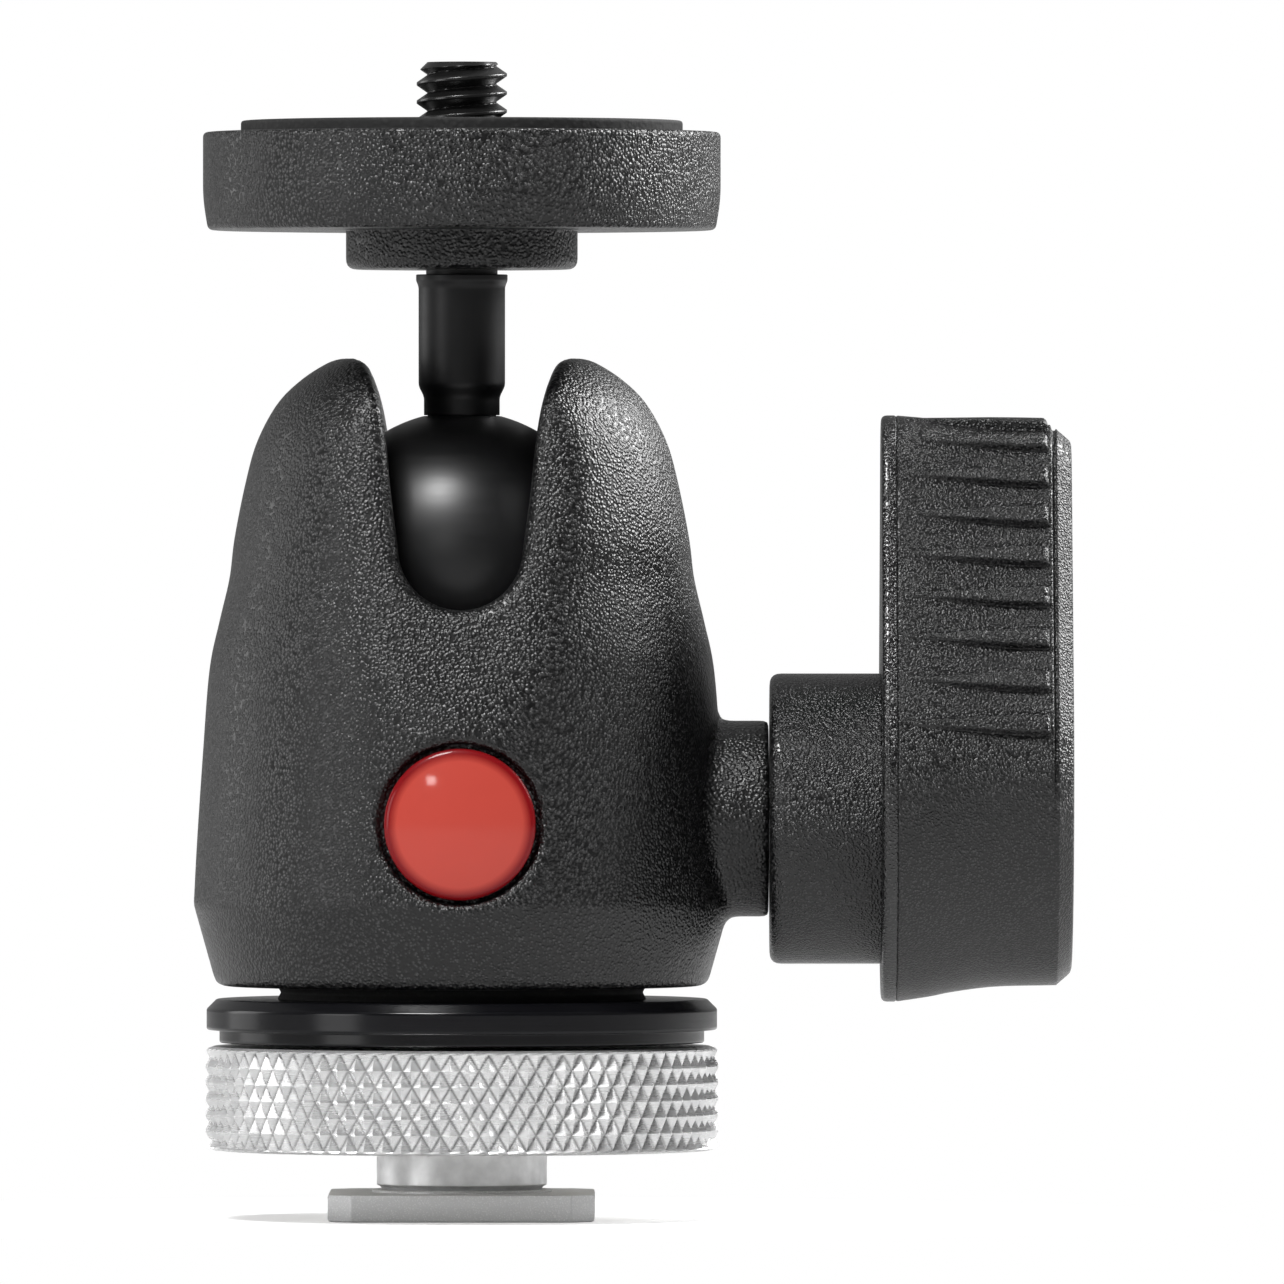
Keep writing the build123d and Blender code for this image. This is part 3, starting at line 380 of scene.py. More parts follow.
# %% Soft boxes
def soft_box(name, place, aim, size, power):
    """A rectangular area lamp at place, in mm, turned towards aim."""
    data = bpy.data.lights.new(name, "AREA")
    data.shape, data.size, data.size_y = "RECTANGLE", size[0] * MM, size[1] * MM
    data.energy = power
    lamp = bpy.data.objects.new(name, data)
    bpy.context.scene.collection.objects.link(lamp)
    toward = np.array(aim, float) - np.array(place, float)
    flat = math.hypot(toward[0], toward[1])
    lamp.location = [value * MM for value in place]
    lamp.rotation_euler = (math.atan2(flat, -toward[2]), 0, math.atan2(-toward[0], toward[1]))


soft_box("key", (-180, -350, 640), (0, 0, 45), (200, 200), 4.7)
soft_box("front_left", (-620, -400, 130), (0, 0, 40), (260, 360), 1.0)
soft_box("front_top", (-250, -1000, 390), (0, 0, 40), (70, 70), 0.45)
soft_box("side_right", (560, 40, 330), (20, 0, 45), (110, 220), 0.8)
soft_box("rim_right", (480, 300, 380), (10, 0, 45), (220, 360), 5.2)
soft_box("rim_left", (-600, 300, 180), (0, 0, 45), (300, 360), 0.75)


# %% Room: white to the camera, softer to everything else
def mixed(tree, share, first, second):
    """The first shader where share is 0 and the second where it is 1."""
    return add(tree, "ShaderNodeMixShader", inputs={0: share, 1: first, 2: second}).outputs[0]


WHITE = (1, 1, 1, 1)
ROOM_FRONT, ROOM_BACK, ROOM_PLAIN = 0.075, 0.27, 0.3
world = bpy.data.worlds.new("room")
bpy.context.scene.world = world
world.use_nodes = True
room = world.node_tree
rays = add(room, "ShaderNodeLightPath").outputs
direction = add(room, "ShaderNodeTexCoord").outputs["Generated"]
split = add(room, "ShaderNodeSeparateXYZ", inputs={"Vector": direction})
depth = spread(room, split.outputs["Y"], ROOM_FRONT, ROOM_BACK, start=-0.75, end=0.75)
glossy = add(room, "ShaderNodeBackground", {"Color": WHITE}, {"Strength": depth})
plain = add(room, "ShaderNodeBackground", {"Color": WHITE, "Strength": ROOM_PLAIN})
white = add(room, "ShaderNodeBackground", {"Color": WHITE, "Strength": 1.0})
shine = add(
    room,
    "ShaderNodeMath",
    inputs={0: rays["Is Glossy Ray"], 1: rays["Is Transmission Ray"]},
    operation="MAXIMUM",
)
indirect = mixed(room, shine.outputs[0], plain.outputs[0], glossy.outputs[0])
surroundings = mixed(room, rays["Is Camera Ray"], indirect, white.outputs[0])
room.links.new(surroundings, room.nodes["World Output"].inputs["Surface"])

# %% Floor
FLOOR_NEAR, FLOOR_FAR, FLOOR_HALF = 0.012, 0.055, 4.0
FLOOR_TONE, FLOOR_GLOSSY, FLOOR_LIFT = (0.9,) * 3, (0.52,) * 3, 0.3
floor_material, floor_tree, floor_shader, floor_where = new_material(
    "pale_floor", FLOOR_TONE, 0.9, specular=0.1
)
floor_rays = add(floor_tree, "ShaderNodeLightPath").outputs
tone = tinted(floor_tree, floor_rays["Is Glossy Ray"], 0.0, 1.0, (FLOOR_TONE, FLOOR_GLOSSY))
floor_tree.links.new(tone, floor_shader.inputs["Base Color"])
fade = spread(floor_tree, length_of(floor_tree, floor_where), 0.0, 1.0, FLOOR_NEAR, FLOOR_FAR)
seen = add(
    floor_tree,
    "ShaderNodeMath",
    inputs={0: floor_rays["Is Camera Ray"], 1: fade},
    operation="MULTIPLY",
)
glow = add(floor_tree, "ShaderNodeEmission", {"Strength": 1.0})
fading = mixed(floor_tree, seen.outputs[0], floor_shader.outputs[0], glow.outputs[0])
lift = add(
    floor_tree,
    "ShaderNodeMath",
    {1: FLOOR_LIFT},
    {0: floor_rays["Is Camera Ray"]},
    operation="MULTIPLY",
)
floor_shader.inputs["Emission Color"].default_value = WHITE
floor_tree.links.new(lift.outputs[0], floor_shader.inputs["Emission Strength"])
floor_tree.links.new(fading, floor_tree.nodes["Material Output"].inputs["Surface"])
side = np.array([[-1, -1], [1, -1], [1, 1], [-1, 1]]) * FLOOR_HALF
floor_mesh = bpy.data.meshes.new("floor")
floor_mesh.from_pydata([(x, y, 0.0) for x, y in side], [], [(0, 1, 2, 3)])
floor_mesh.materials.append(floor_material)
floor = bpy.data.objects.new("floor", floor_mesh)
bpy.context.scene.collection.objects.link(floor)
print("camera, lamps and floor ready")

# %% [markdown]
# ## Platform, stem and ball
#
# The platform is one turned casting: a small hub under a thick disc with a shallow seat on
# top. Painted edges are never sharp, because the coat pulls back from them, so every corner
# of the profile is rounded a little. The ball and stem are turned from bar and blackened.

# %% Platform and pad
top_plate = turned(
    "platform",
    [
        (2.22, 66.4, 0.1),
        (8.1, 66.4, 0.75),
        (8.1, 69.15, 0.12),
        (17.75, 69.15, 0.4),
        (18.1, 71.3, 1.0),
        (18.1, 76.0, 0.38),
        (15.47, 76.0, 0.12),
        (15.47, 75.2, 0),
        (2.92, 75.2, 0),
        (2.92, 72.8, 0),
        (2.22, 72.8, 0),
    ],
    around=288,
    hollow=True,
)
dress(top_plate, "platform", "painted_plate", PLATE_PAINT, "top_plate")

pad = turned(
    "platform_pad",
    [(3.7, 75.2, 0), (15.45, 75.2, 0), (15.45, 76.8, 0.25), (3.7, 76.8, 0.2)],
    around=288,
    hollow=True,
)
dress(pad, "platform", "pad_rubber", RUBBER, "rubber_pad")


# %% [markdown]
# ## Camera screw
#
# A thread is a groove wound round a bar. At angle a and height z the radius depends only on
# how far z has gone through the current turn, which is z / pitch - a / (2 pi), less its
# whole part. A triangle wave of that number, flattened at crest and root, is the thread
# form of a camera screw: 60 degree flanks, 20 turns to the inch.

# %% Threaded surface
CAMERA_PITCH = 1.27
TAIL_R, TAIL_TOP = 2.88, 76.75
STEEPER, ROOT_FLAT = 1.25, 0.06


def threaded(name, crest, root, pitch, low, high, lead, around=144, per_turn=26):
    """A right-hand thread from low to high, cut down to a cone of height lead at the top.

    radius = root + (crest - root) * form(z / pitch - a / 2 pi), where form is a triangle
    wave that is stretched by STEEPER, sunk by ROOT_FLAT and clipped to 0..1. Below the
    pad's top the crest is cut down to the tail that sits in the platform.
    """
    rows = int((high - low) / pitch * per_turn) + 1
    z = np.linspace(low, high, rows)[:, None]
    angle = np.linspace(0, 2 * math.pi, around, endpoint=False)[None, :]
    turn = (z / pitch - angle / (2 * math.pi)) % 1.0
    form = np.clip(STEEPER * np.abs(2 * turn - 1) - ROOT_FLAT, 0, 1)
    radius = root + (crest - root) * form
    limit = crest - np.clip(z - (high - lead), 0, None)
    limit = np.minimum(limit, np.where(z < TAIL_TOP, TAIL_R, crest))
    radius = np.minimum(radius, limit)
    rings = np.stack([radius * np.cos(angle), radius * np.sin(angle), z + 0 * angle], -1)
    return join_rings(name, rings, hollow=False, sharp=50.0)


camera_screw = threaded("camera_screw_thread", 3.16, 2.42, CAMERA_PITCH, 72.85, 80.9, 0.75)
dress(camera_screw, "platform", "screw_black", SCREW_FINISH, "camera_screw")

# %% Stem
stem = turned(
    "stem_bar",
    [
        (AXIS, 46.9, 0),
        (2.4, 46.9, 0.2),
        (2.4, 56.21, 0),
        (2.65, 56.21, 0.06),
        (2.65, 57.5, 0.25),
        (3.025, 58.25, 0.25),
        (3.025, 65.2, 0.5),
        (3.2, 65.62, 0.1),
        (3.2, 66.05, 0.08),
        (2.5, 66.05, 0),
        (2.5, 66.4, 0),
        (2.2, 66.4, 0),
        (2.2, 71.4, 0),
        (AXIS, 71.4, 0),
    ],
    around=128,
)
dress(stem, "platform", "stem_black", STEM_FINISH, "stem")

# %% Ball
BALL_Z, BALL_R, BALL_FLAT_R = 45.9, 10.6, 2.75
flat = math.sqrt(BALL_R**2 - BALL_FLAT_R**2)
sweep = np.linspace(-math.pi / 2 + 0.001, math.asin(flat / BALL_R), 96)
ball_profile = [(BALL_R * math.cos(a), BALL_Z + BALL_R * math.sin(a), 0) for a in sweep]
ball_bore = [(2.62, BALL_Z + flat + 0.02, 0), (2.45, 56.1, 0), (2.45, 46.6, 0), (AXIS, 46.6, 0)]
ball = turned("ball_body", ball_profile + ball_bore)
dress(ball, "ball", "ball_black", BALL_FINISH, "ball")


# %% [markdown]
# ## Housing
#
# The housing is a casting in which turned, flat, slotted and drilled shapes run into each
# other with soft edges. That is hard to describe as one grid, but easy as a distance: how
# far each point of space lies outside the surface. Two shapes are joined or cut by taking
# the smaller or larger of their distances, and a little smoothing where the two are nearly
# equal gives the cast fillets. The surface is then gathered where the distance is zero:
# each small box of space that the surface crosses gets one point, and boxes that share a
# crossed edge are joined by a face.


# %% Distances
def soft_max(a, b, blend):
    """The larger of two distances, rounded over a width of blend where they are close.

    Where they differ by less than blend, (blend - |a - b|)^2 / (4 blend) is added.
    """
    near = np.maximum(blend - np.abs(a - b), 0) / blend
    return np.maximum(a, b) + near * near * blend * 0.25


def soft_min(a, b, blend):
    """The smaller of two distances, rounded in the same way."""
    return -soft_max(-a, -b, blend)


def smooth_path(points, steps=24):
    """A curve through points.

    Each span is a cubic whose slope at an end is the mean of the two chords that meet there.
    """
    p = np.array(points, float)
    ends = np.concatenate([[2 * p[0] - p[1]], p, [2 * p[-1] - p[-2]]])
    a, b, c, d = ends[:-3], ends[1:-2], ends[2:-1], ends[3:]
    t = np.linspace(0, 1, steps, endpoint=False)[None, :, None]
    a, b, c, d = (v[:, None, :] for v in (a, b, c, d))
    curve = 0.5 * (2 * b + (c - a) * t + (2 * a - 5 * b + 4 * c - d) * t**2)
    curve += 0.5 * (3 * b - a - 3 * c + d) * t**3
    return np.concatenate([curve.reshape(-1, 2), p[-1:]])


def outline_distance(outline, u, v):
    """Signed distance from points (u, v) to a closed outline, negative inside.

    The distance is to the nearest point of each side, clamped to its ends. A point is inside
    when a ray from it crosses the outline an odd number of times.
    """
    a, b = outline, np.roll(outline, -1, 0)
    best = np.full(u.shape, np.inf)
    inside = np.zeros(u.shape, bool)
    for (ax, ay), (bx, by) in zip(a, b):
        dx, dy = bx - ax, by - ay
        length = dx * dx + dy * dy
        if length < 1e-12:
            continue
        t = np.clip(((u - ax) * dx + (v - ay) * dy) / length, 0, 1)
        best = np.minimum(best, (u - ax - t * dx) ** 2 + (v - ay - t * dy) ** 2)
        if ay != by:
            crossing = (v < ay) != (v < by)
            inside ^= crossing & (u < dx * (v - ay) / dy + ax)
    return np.where(inside, -1, 1) * np.sqrt(best)


def sample(table, low, step, u, v):
    """Read a table of values on a square grid at points (u, v), blending four neighbours."""
    i = np.clip((u - low[0]) / step, 0, table.shape[0] - 1.001)
    j = np.clip((v - low[1]) / step, 0, table.shape[1] - 1.001)
    i0, j0 = i.astype(int), j.astype(int)
    fi, fj = i - i0, j - j0
    top = table[i0, j0] * (1 - fi) + table[i0 + 1, j0] * fi
    side = table[i0, j0 + 1] * (1 - fi) + table[i0 + 1, j0 + 1] * fi
    return top * (1 - fj) + side * fj


# %% Surface of a distance
def gather_surface(field, low, step):
    """Points and faces where a sampled distance changes sign.

    Each mixed box of the grid gets the mean of the crossings on its twelve edges. Each grid
    edge that changes sign joins the four boxes round it.
    """
    corner = [(i, j, k) for i in (0, 1) for j in (0, 1) for k in (0, 1)]
    nx, ny, nz = (n - 1 for n in field.shape)
    views = [field[i : nx + i, j : ny + j, k : nz + k] < 0 for i, j, k in corner]
    count = sum(view.astype(np.int8) for view in views)
    cells = np.argwhere((count > 0) & (count < 8))
    values = np.stack([field[tuple((cells + np.array(c)).T)] for c in corner], 1)
    total, hits = np.zeros((len(cells), 3)), np.zeros(len(cells))
    for m, first in enumerate(corner):
        for n, second in enumerate(corner):
            if n <= m or sum(abs(p - q) for p, q in zip(first, second)) != 1:
                continue
            crossed = (values[:, m] < 0) != (values[:, n] < 0)
            span = np.where(crossed, values[:, m] - values[:, n], 1.0)
            part = np.where(crossed, values[:, m] / span, 0.0)[:, None]
            spot = np.array(first) + part * (np.array(second) - np.array(first))
            total += np.where(crossed[:, None], spot, 0.0)
            hits += crossed
    points = cells + total / hits[:, None]
    number = np.full((nx, ny, nz), -1, np.int32)
    number[tuple(cells.T)] = np.arange(len(cells))
    faces = []
    for axis in range(3):
        b, c = (axis + 1) % 3, (axis + 2) % 3
        lower = np.take(field, range(field.shape[axis] - 1), axis) < 0
        upper = np.take(field, range(1, field.shape[axis]), axis) < 0
        edge = np.argwhere(lower != upper)
        edge = edge[(edge[:, b] > 0) & (edge[:, c] > 0)]
        outward = lower[tuple(edge.T)]
        corners = []
        for db, dc in ((1, 1), (0, 1), (0, 0), (1, 0)):
            cell = edge.copy()
            cell[:, b] -= db
            cell[:, c] -= dc
            corners.append(number[tuple(cell.T)])
        quad = np.stack(corners, 1)
        faces.append(np.where(outward[:, None], quad, quad[:, ::-1]))
    return points * step + low, np.concatenate(faces)


# %% Housing section
SOCKET_R, THROAT_R = 10.68, 6.7
SKIRT_BOTTOM, SKIRT_BORE_R, SKIRT_BORE_TOP = 16.3, 11.88, 18.0
SLOT_R, SLOT_Z = 4.35, 46.95
HOUSING_SIDE = [
    (18.75, 22.0),
    (18.52, 26.4),
    (18.12, 32.4),
    (17.65, 38.4),
    (16.95, 41.8),
    (16.25, 44.8),
    (15.9, 47.6),
    (15.1, 51.6),
    (14.3, 54.4),
    (12.9, 57.0),
    (11.2, 58.7),
    (9.3, 59.9),
    (8.15, 60.2),
]
SLOT_SIDE = [(SLOT_R, SLOT_Z), (4.85, 50.7), (5.3, 55.0), (6.0, 58.2), (7.4, 61.5)]


def arc(centre, radius, start, end, count):
    """Points on a circle from one angle to another, in degrees."""
    angle = np.radians(np.linspace(start, end, count))
    return np.stack([centre[0] + radius * np.cos(angle), centre[1] + radius * np.sin(angle)], 1)


throat_z = BALL_Z + math.sqrt(SOCKET_R**2 - THROAT_R**2)
throat_angle = math.degrees(math.asin((throat_z - BALL_Z) / SOCKET_R))
skirt_corners = [(SKIRT_BORE_R, SKIRT_BOTTOM, 0), (17.15, SKIRT_BOTTOM, 0.7), (18.75, 22.0, 0.0)]
skirt = eased(skirt_corners, closed=False)
ear_tip = smooth_path([(8.15, 60.2), (7.45, 59.95), (7.1, 59.3)], 6)
section = np.concatenate(
    [
        skirt[:-1],
        smooth_path(HOUSING_SIDE, 8),
        ear_tip[1:],
        arc((0, BALL_Z), SOCKET_R, throat_angle, 0, 20),
        [(SOCKET_R, SKIRT_BORE_TOP), (SKIRT_BORE_R, SKIRT_BORE_TOP)],
    ]
)
slot_half = smooth_path(SLOT_SIDE, 6)
slot_bottom = arc((0, SLOT_Z), SLOT_R, 180, 360, 24)[:-1]
slot_outline = np.concatenate([slot_bottom, slot_half, slot_half[::-1] * np.array([-1, 1])])
print("housing section", len(section), "points; slot", len(slot_outline), "points")

# %% Housing field
# A table of distances to a flat outline is read at every point of the grid. X, Y and Z are
# the grid's three directions, each an array with one long axis.
STEP, FINE = 0.34, 0.15
TABLE_LOW, TABLE_HIGH = 15.0, 62.5
low = np.array([-19.5, -19.5, 15.6])
shape = (124, 116, 135)
X, Y, Z = (
    (low[n] + STEP * np.arange(shape[n])).reshape([-1 if m == n else 1 for m in range(3)])
    for n in range(3)
)


def through(outline, start, end, u):
    """Distances on the grid to an outline (u, z) that is carried along the third direction."""
    columns, rows = np.arange(start, end, FINE), np.arange(TABLE_LOW, TABLE_HIGH, FINE)
    table = outline_distance(outline, *np.meshgrid(columns, rows, indexing="ij"))
    return sample(table, (start, TABLE_LOW), FINE, u + 0 * Z, Z + 0 * u)


field = through(section, 0.0, 28.0, np.hypot(X, Y))

# sloping faces at the front and the back
FACE_TIP_Y, FACE_TIP_Z, FACE_SLOPE, FACE_BLEND = 17.9, 35.0, math.radians(16.7), 0.7
for sign in (-1, 1):
    slope = (sign * Y - FACE_TIP_Y) * math.cos(FACE_SLOPE) + (Z - FACE_TIP_Z) * math.sin(FACE_SLOPE)
    field = soft_max(field, slope + 0 * X, FACE_BLEND)

# the boss, then the slot with its rounded rim
LOCK_Z = 28.0
BOSS_R, BOSS_START, BOSS_END, BOSS_EDGE, BOSS_FILLET = 6.85, 12.0, 21.45, 0.3, 0.8
SLOT_EDGE = 0.9
from_axis = np.hypot(Y, Z - LOCK_Z)
boss = soft_max(from_axis - BOSS_R + 0 * X, X - BOSS_END + 0 * Y + 0 * Z, BOSS_EDGE)
boss = np.maximum(boss, BOSS_START - X)
field = soft_min(field, boss, BOSS_FILLET)
field = soft_max(field, -through(slot_outline, -21.0, 23.0, X), SLOT_EDGE)

# the badge's recess, the bush's seat and the wedge pin's guides
BADGE_Z, RECESS_R, RECESS_FLOOR, RECESS_EDGE = 27.8, 5.6, 17.0, 0.45
SEAT_R, SEAT_START, GUIDE_R, GUIDE_START = 5.17, 12.5, 3.65, -14.6
recess = np.maximum(np.hypot(X, Z - BADGE_Z) - RECESS_R, Y + RECESS_FLOOR)
field = soft_max(field, -recess, RECESS_EDGE)
field = np.maximum(field, -np.maximum(from_axis - SEAT_R, SEAT_START - X))
field = np.maximum(field, -np.maximum(from_axis - GUIDE_R, GUIDE_START - X))
points, faces = gather_surface(field, low, STEP)


# %% Settle the points on the surface
LEAST_SLOPE = 0.3


def settle(points, field, low, step, rounds=2):
    """Move each point along the slope of the field to where the distance is zero.

    The value and slope come from the eight grid values round the point; the move is the
    value times the slope over the slope's square, which is taken as LEAST_SLOPE or more, and
    it is held under a third of a step.
    """
    for _ in range(rounds):
        place = (points - low) / step
        cell = np.clip(place.astype(int), 0, np.array(field.shape) - 2)
        x, y, z = (place - cell).T
        c = {
            (i, j, k): field[cell[:, 0] + i, cell[:, 1] + j, cell[:, 2] + k]
            for i in (0, 1)
            for j in (0, 1)
            for k in (0, 1)
        }
        along_x = [(c[1, j, k] - c[0, j, k]) for j in (0, 1) for k in (0, 1)]
        rows = [c[0, j, k] * (1 - x) + c[1, j, k] * x for j in (0, 1) for k in (0, 1)]
        value = (rows[0] * (1 - y) + rows[2] * y) * (1 - z) + (rows[1] * (1 - y) + rows[3] * y) * z
        gx = (along_x[0] * (1 - y) + along_x[2] * y) * (1 - z)
        gx = gx + (along_x[1] * (1 - y) + along_x[3] * y) * z
        gy = (rows[2] - rows[0]) * (1 - z) + (rows[3] - rows[1]) * z
        gz = (rows[1] * (1 - y) + rows[3] * y) - (rows[0] * (1 - y) + rows[2] * y)
        slope = np.stack([gx, gy, gz], 1) / step
        size = np.maximum((slope**2).sum(1), LEAST_SLOPE)
        move = slope * (value / size)[:, None]
        reach = np.sqrt((move**2).sum(1))[:, None]
        points = points - move * np.minimum(1, step / 3 / np.maximum(reach, 1e-9))
    return points


housing = make_mesh("housing_casting", settle(points, field, low, STEP), faces, sharp=60.0)
dress(housing, "housing", "painted_housing", PAINT, "body_casting")

# %% [markdown]
# ## Badge
#
# A short disc of red plastic with a low dome, set in a recess with a narrow dark gap. The
# face is orange red, and the rim is painted a deeper red as painted shade, for the darker
# look of the clear red plastic at its edge in the recess, so the colour follows the
# distance from the badge's middle.

# %% Badge disc
BADGE_R, BADGE_TIP, BADGE_RISE, BADGE_BACK = 5.05, -18.95, 0.75, -17.0
# the badge is painted a deeper red from the first distance to the second, as painted shade at its
# rim
RIM_SHADE_FROM, RIM_SHADE_TO = 4.4, 5.0
dome = [(AXIS, BADGE_TIP, 0)] + [
    (BADGE_R * k, BADGE_TIP + BADGE_RISE * k**2, 0) for k in np.linspace(0.08, 1, 24)
]
badge = turned(
    "badge_dome",
    dome + [(5.25, -18.0, 0.1), (5.25, BADGE_BACK, 0), (AXIS, BADGE_BACK, 0)],
    along="Y",
    centre=(0.0, BADGE_Z),
    around=128,
)
dress(badge, "housing", "red_badge", BADGE, "badge")
badge_from = add(
    badge_tree,
    "ShaderNodeVectorMath",
    {1: (0.0, BADGE_TIP * MM, BADGE_Z * MM)},
    {0: badge_where},
    operation="DISTANCE",
)
rim_shade_share = spread(
    badge_tree, badge_from.outputs["Value"], 0.0, 1.0, RIM_SHADE_FROM * MM, RIM_SHADE_TO * MM
)
# painted shade: orange red on the face, deeper red towards the rim
BADGE_FACE_AND_RIM_SHADE = (0.41, 0.05, 0.035), (0.17, 0.001, 0.003)
badge_colour_with_rim_shade = tinted(badge_tree, rim_shade_share, 0.0, 1.0, BADGE_FACE_AND_RIM_SHADE)
badge_tree.links.new(badge_colour_with_rim_shade, badge_shader.inputs["Base Color"])

# %% [markdown]
# ## Flange, spacer and spindle
#
# Between the housing and the knurled ring lie a rubber spacer and a black anodised disc.
# The disc's edge has a step below and a bevel above, which is what catches the light. The
# spindle is turned from bar, with a fine groove where it meets the foot, and has a keyway
# down its back in which the tongue of the clamp washer slides.

# %% Turned pieces under the housing
flange = turned(
    "flange",
    [
        (4.02, 12.35, 0),
        (16.95, 12.35, 0.15),
        (16.95, 13.25, 0.05),
        (17.85, 13.25, 0.18),
        (17.85, 14.7, 0.12),
        (17.15, 15.4, 0.12),
        (4.02, 15.4, 0),
    ],
    around=288,
    hollow=True,
)
dress(flange, "housing", "black_anodised", ANODISED, "flange_disc")

spacer = turned(
    "spacer",
    [(4.02, 15.4, 0), (12.9, 15.4, 0.08), (12.65, 15.85, 0.1), (12.9, 16.3, 0.08), (4.02, 16.3, 0)],
    around=192,
    hollow=True,
)
dress(spacer, "housing", "washer_rubber", SPACER, "spacer_washer")

# %% Spindle with its keyway
KEY_HALF, KEY_FLOOR, KEY_TOP = 0.7, 5.15, 6.1
KEY_SHARE, KEY_DRAFT = 0.13, 0.98


def keyed(name, corners, around=192, across=7):
    """A turned bar with a keyway of half width w and floor y0 on its +Y side, up to KEY_TOP.

    A ring runs round at radius r from (-w, y) to (w, y), y = sqrt(r^2 - w^2), and back over
    the keyway through (x, y0), or through (x, sqrt(r^2 - x^2)) where there is no keyway. The
    floor is KEY_DRAFT as wide as the mouth, and w is never over KEY_SHARE of the radius.
    """
    rings = []
    for radius, height in eased(corners, False):
        half = min(KEY_HALF, KEY_SHARE * radius)
        edge = math.asin(half / radius)
        angle = np.linspace(math.pi / 2 + edge, 5 * math.pi / 2 - edge, around)
        x = np.linspace(KEY_DRAFT * half, -KEY_DRAFT * half, across)
        y = np.sqrt(radius * radius - x * x)
        if height <= KEY_TOP:
            y = np.minimum(y, KEY_FLOOR)
        ring_x = np.concatenate([radius * np.cos(angle), x])
        ring_y = np.concatenate([radius * np.sin(angle), y])
        rings.append(np.stack([ring_x, ring_y, np.full(around + across, height)], -1))
    return join_rings(name, rings, hollow=False)


spindle = keyed(
    "spindle_bar",
    [
        (AXIS, 2.1, 0),
        (5.55, 2.1, 0),
        (5.7, 2.3, 0.06),
        (5.95, 2.42, 0.08),
        (5.95, KEY_TOP, 0),
        (5.95, KEY_TOP + 0.02, 0),
        (5.95, 12.35, 0.1),
        (4.0, 12.35, 0),
        (4.0, 15.4, 0),
        (3.175, 15.4, 0),
        (3.175, 20.4, 0),
        (2.6, 21.0, 0),
        (AXIS, 21.0, 0),
    ],
)
dress(spindle, "housing", "spindle_aluminium", SPINDLE, "spindle")

# %% [markdown]
# ## Shoe foot
#
# The foot is a square plate with its corners cut off and a low round collar on top. Its
# rings are the same eight-sided outline drawn larger or smaller, then circles for the
# collar and for the countersunk hole.


# %% Foot
def cut_square(width, length, corner, inset, around):
    """Points on a rectangle with cut corners, one for each of `around` equal angles.

    In direction a the reach is the smallest of the distances to the sides, (w/2) / |cos a|
    and (l/2) / |sin a|, and to the cut, (w/2 + l/2 - c) / (|cos a| + |sin a|).
    """
    angle = np.linspace(0, 2 * math.pi, around, endpoint=False)
    c, s = np.abs(np.cos(angle)) + 1e-9, np.abs(np.sin(angle)) + 1e-9
    half_w, half_l = width / 2 - inset, length / 2 - inset
    cut = half_w + half_l - corner + inset * (2 - math.sqrt(2))
    reach = np.minimum(np.minimum(half_w / c, half_l / s), cut / (c + s))
    return np.stack([reach * np.cos(angle), reach * np.sin(angle)], 1)


def flat_ring(outline, z):
    """Lift an outline (x, y) to height z."""
    return np.concatenate([outline, np.full((len(outline), 1), z)], 1)


def circle(radius, around):
    """Points on a circle, one for each of `around` equal angles."""
    angle = np.linspace(0, 2 * math.pi, around, endpoint=False)
    return np.stack([radius * np.cos(angle), radius * np.sin(angle)], 1)


FOOT_AROUND = 720
FOOT_WIDTH, FOOT_LENGTH, FOOT_CORNER = 18.6, 18.0, 1.6
foot_rows = [(0.22, 0.0), (0.06, 0.07), (0.0, 0.22), (0.0, 1.72), (0.05, 1.86), (0.17, 1.9)]
foot_rings = [flat_ring(circle(3.6, FOOT_AROUND), 0.0)]
foot_rings += [
    flat_ring(cut_square(FOOT_WIDTH, FOOT_LENGTH, FOOT_CORNER, inset, FOOT_AROUND), z)
    for inset, z in foot_rows
]
foot_rings += [
    flat_ring(circle(radius, FOOT_AROUND), z)
    for radius, z in ((6.3, 1.9), (6.3, 2.05), (6.24, 2.1), (2.02, 2.1), (2.02, 1.6))
]
foot = join_rings("shoe_foot_plate", foot_rings, hollow=True)
dress(foot, "housing", "bare_aluminium", BLASTED, "shoe_foot")


# %% [markdown]
# ## Knurled ring
#
# A diamond knurl is two sets of V grooves pressed in at 30 degrees to the ring's axis, left
# and right. Where they cross they leave small pyramids. The grooves cross on a staggered
# lattice, so the band is built from that lattice: a low point where grooves cross, a small
# raised tip in the middle of each diamond, and four sloping sides between.


# %% Knurl
KNURL_STARTS, KNURL_ROWS = 82, 6
KNURL_LOW, KNURL_HIGH = 5.12, 11.83
KNURL_R, KNURL_DEPTH, TIP, RIM_DROP = 17.93, 0.50, 0.12, 0.04
# (row, inward step, bevel points) at the two rims, then the inside from bottom to top
KNURL_RIMS = (
    (0, 1, ((17.75, 5.0), (17.4, 4.85))),
    (KNURL_ROWS, -1, ((17.75, 11.95), (17.35, 12.1))),
)
RING_INSIDE = (13.9, 4.85), (13.9, 6.15), (6.0, 6.15), (6.0, 12.1)


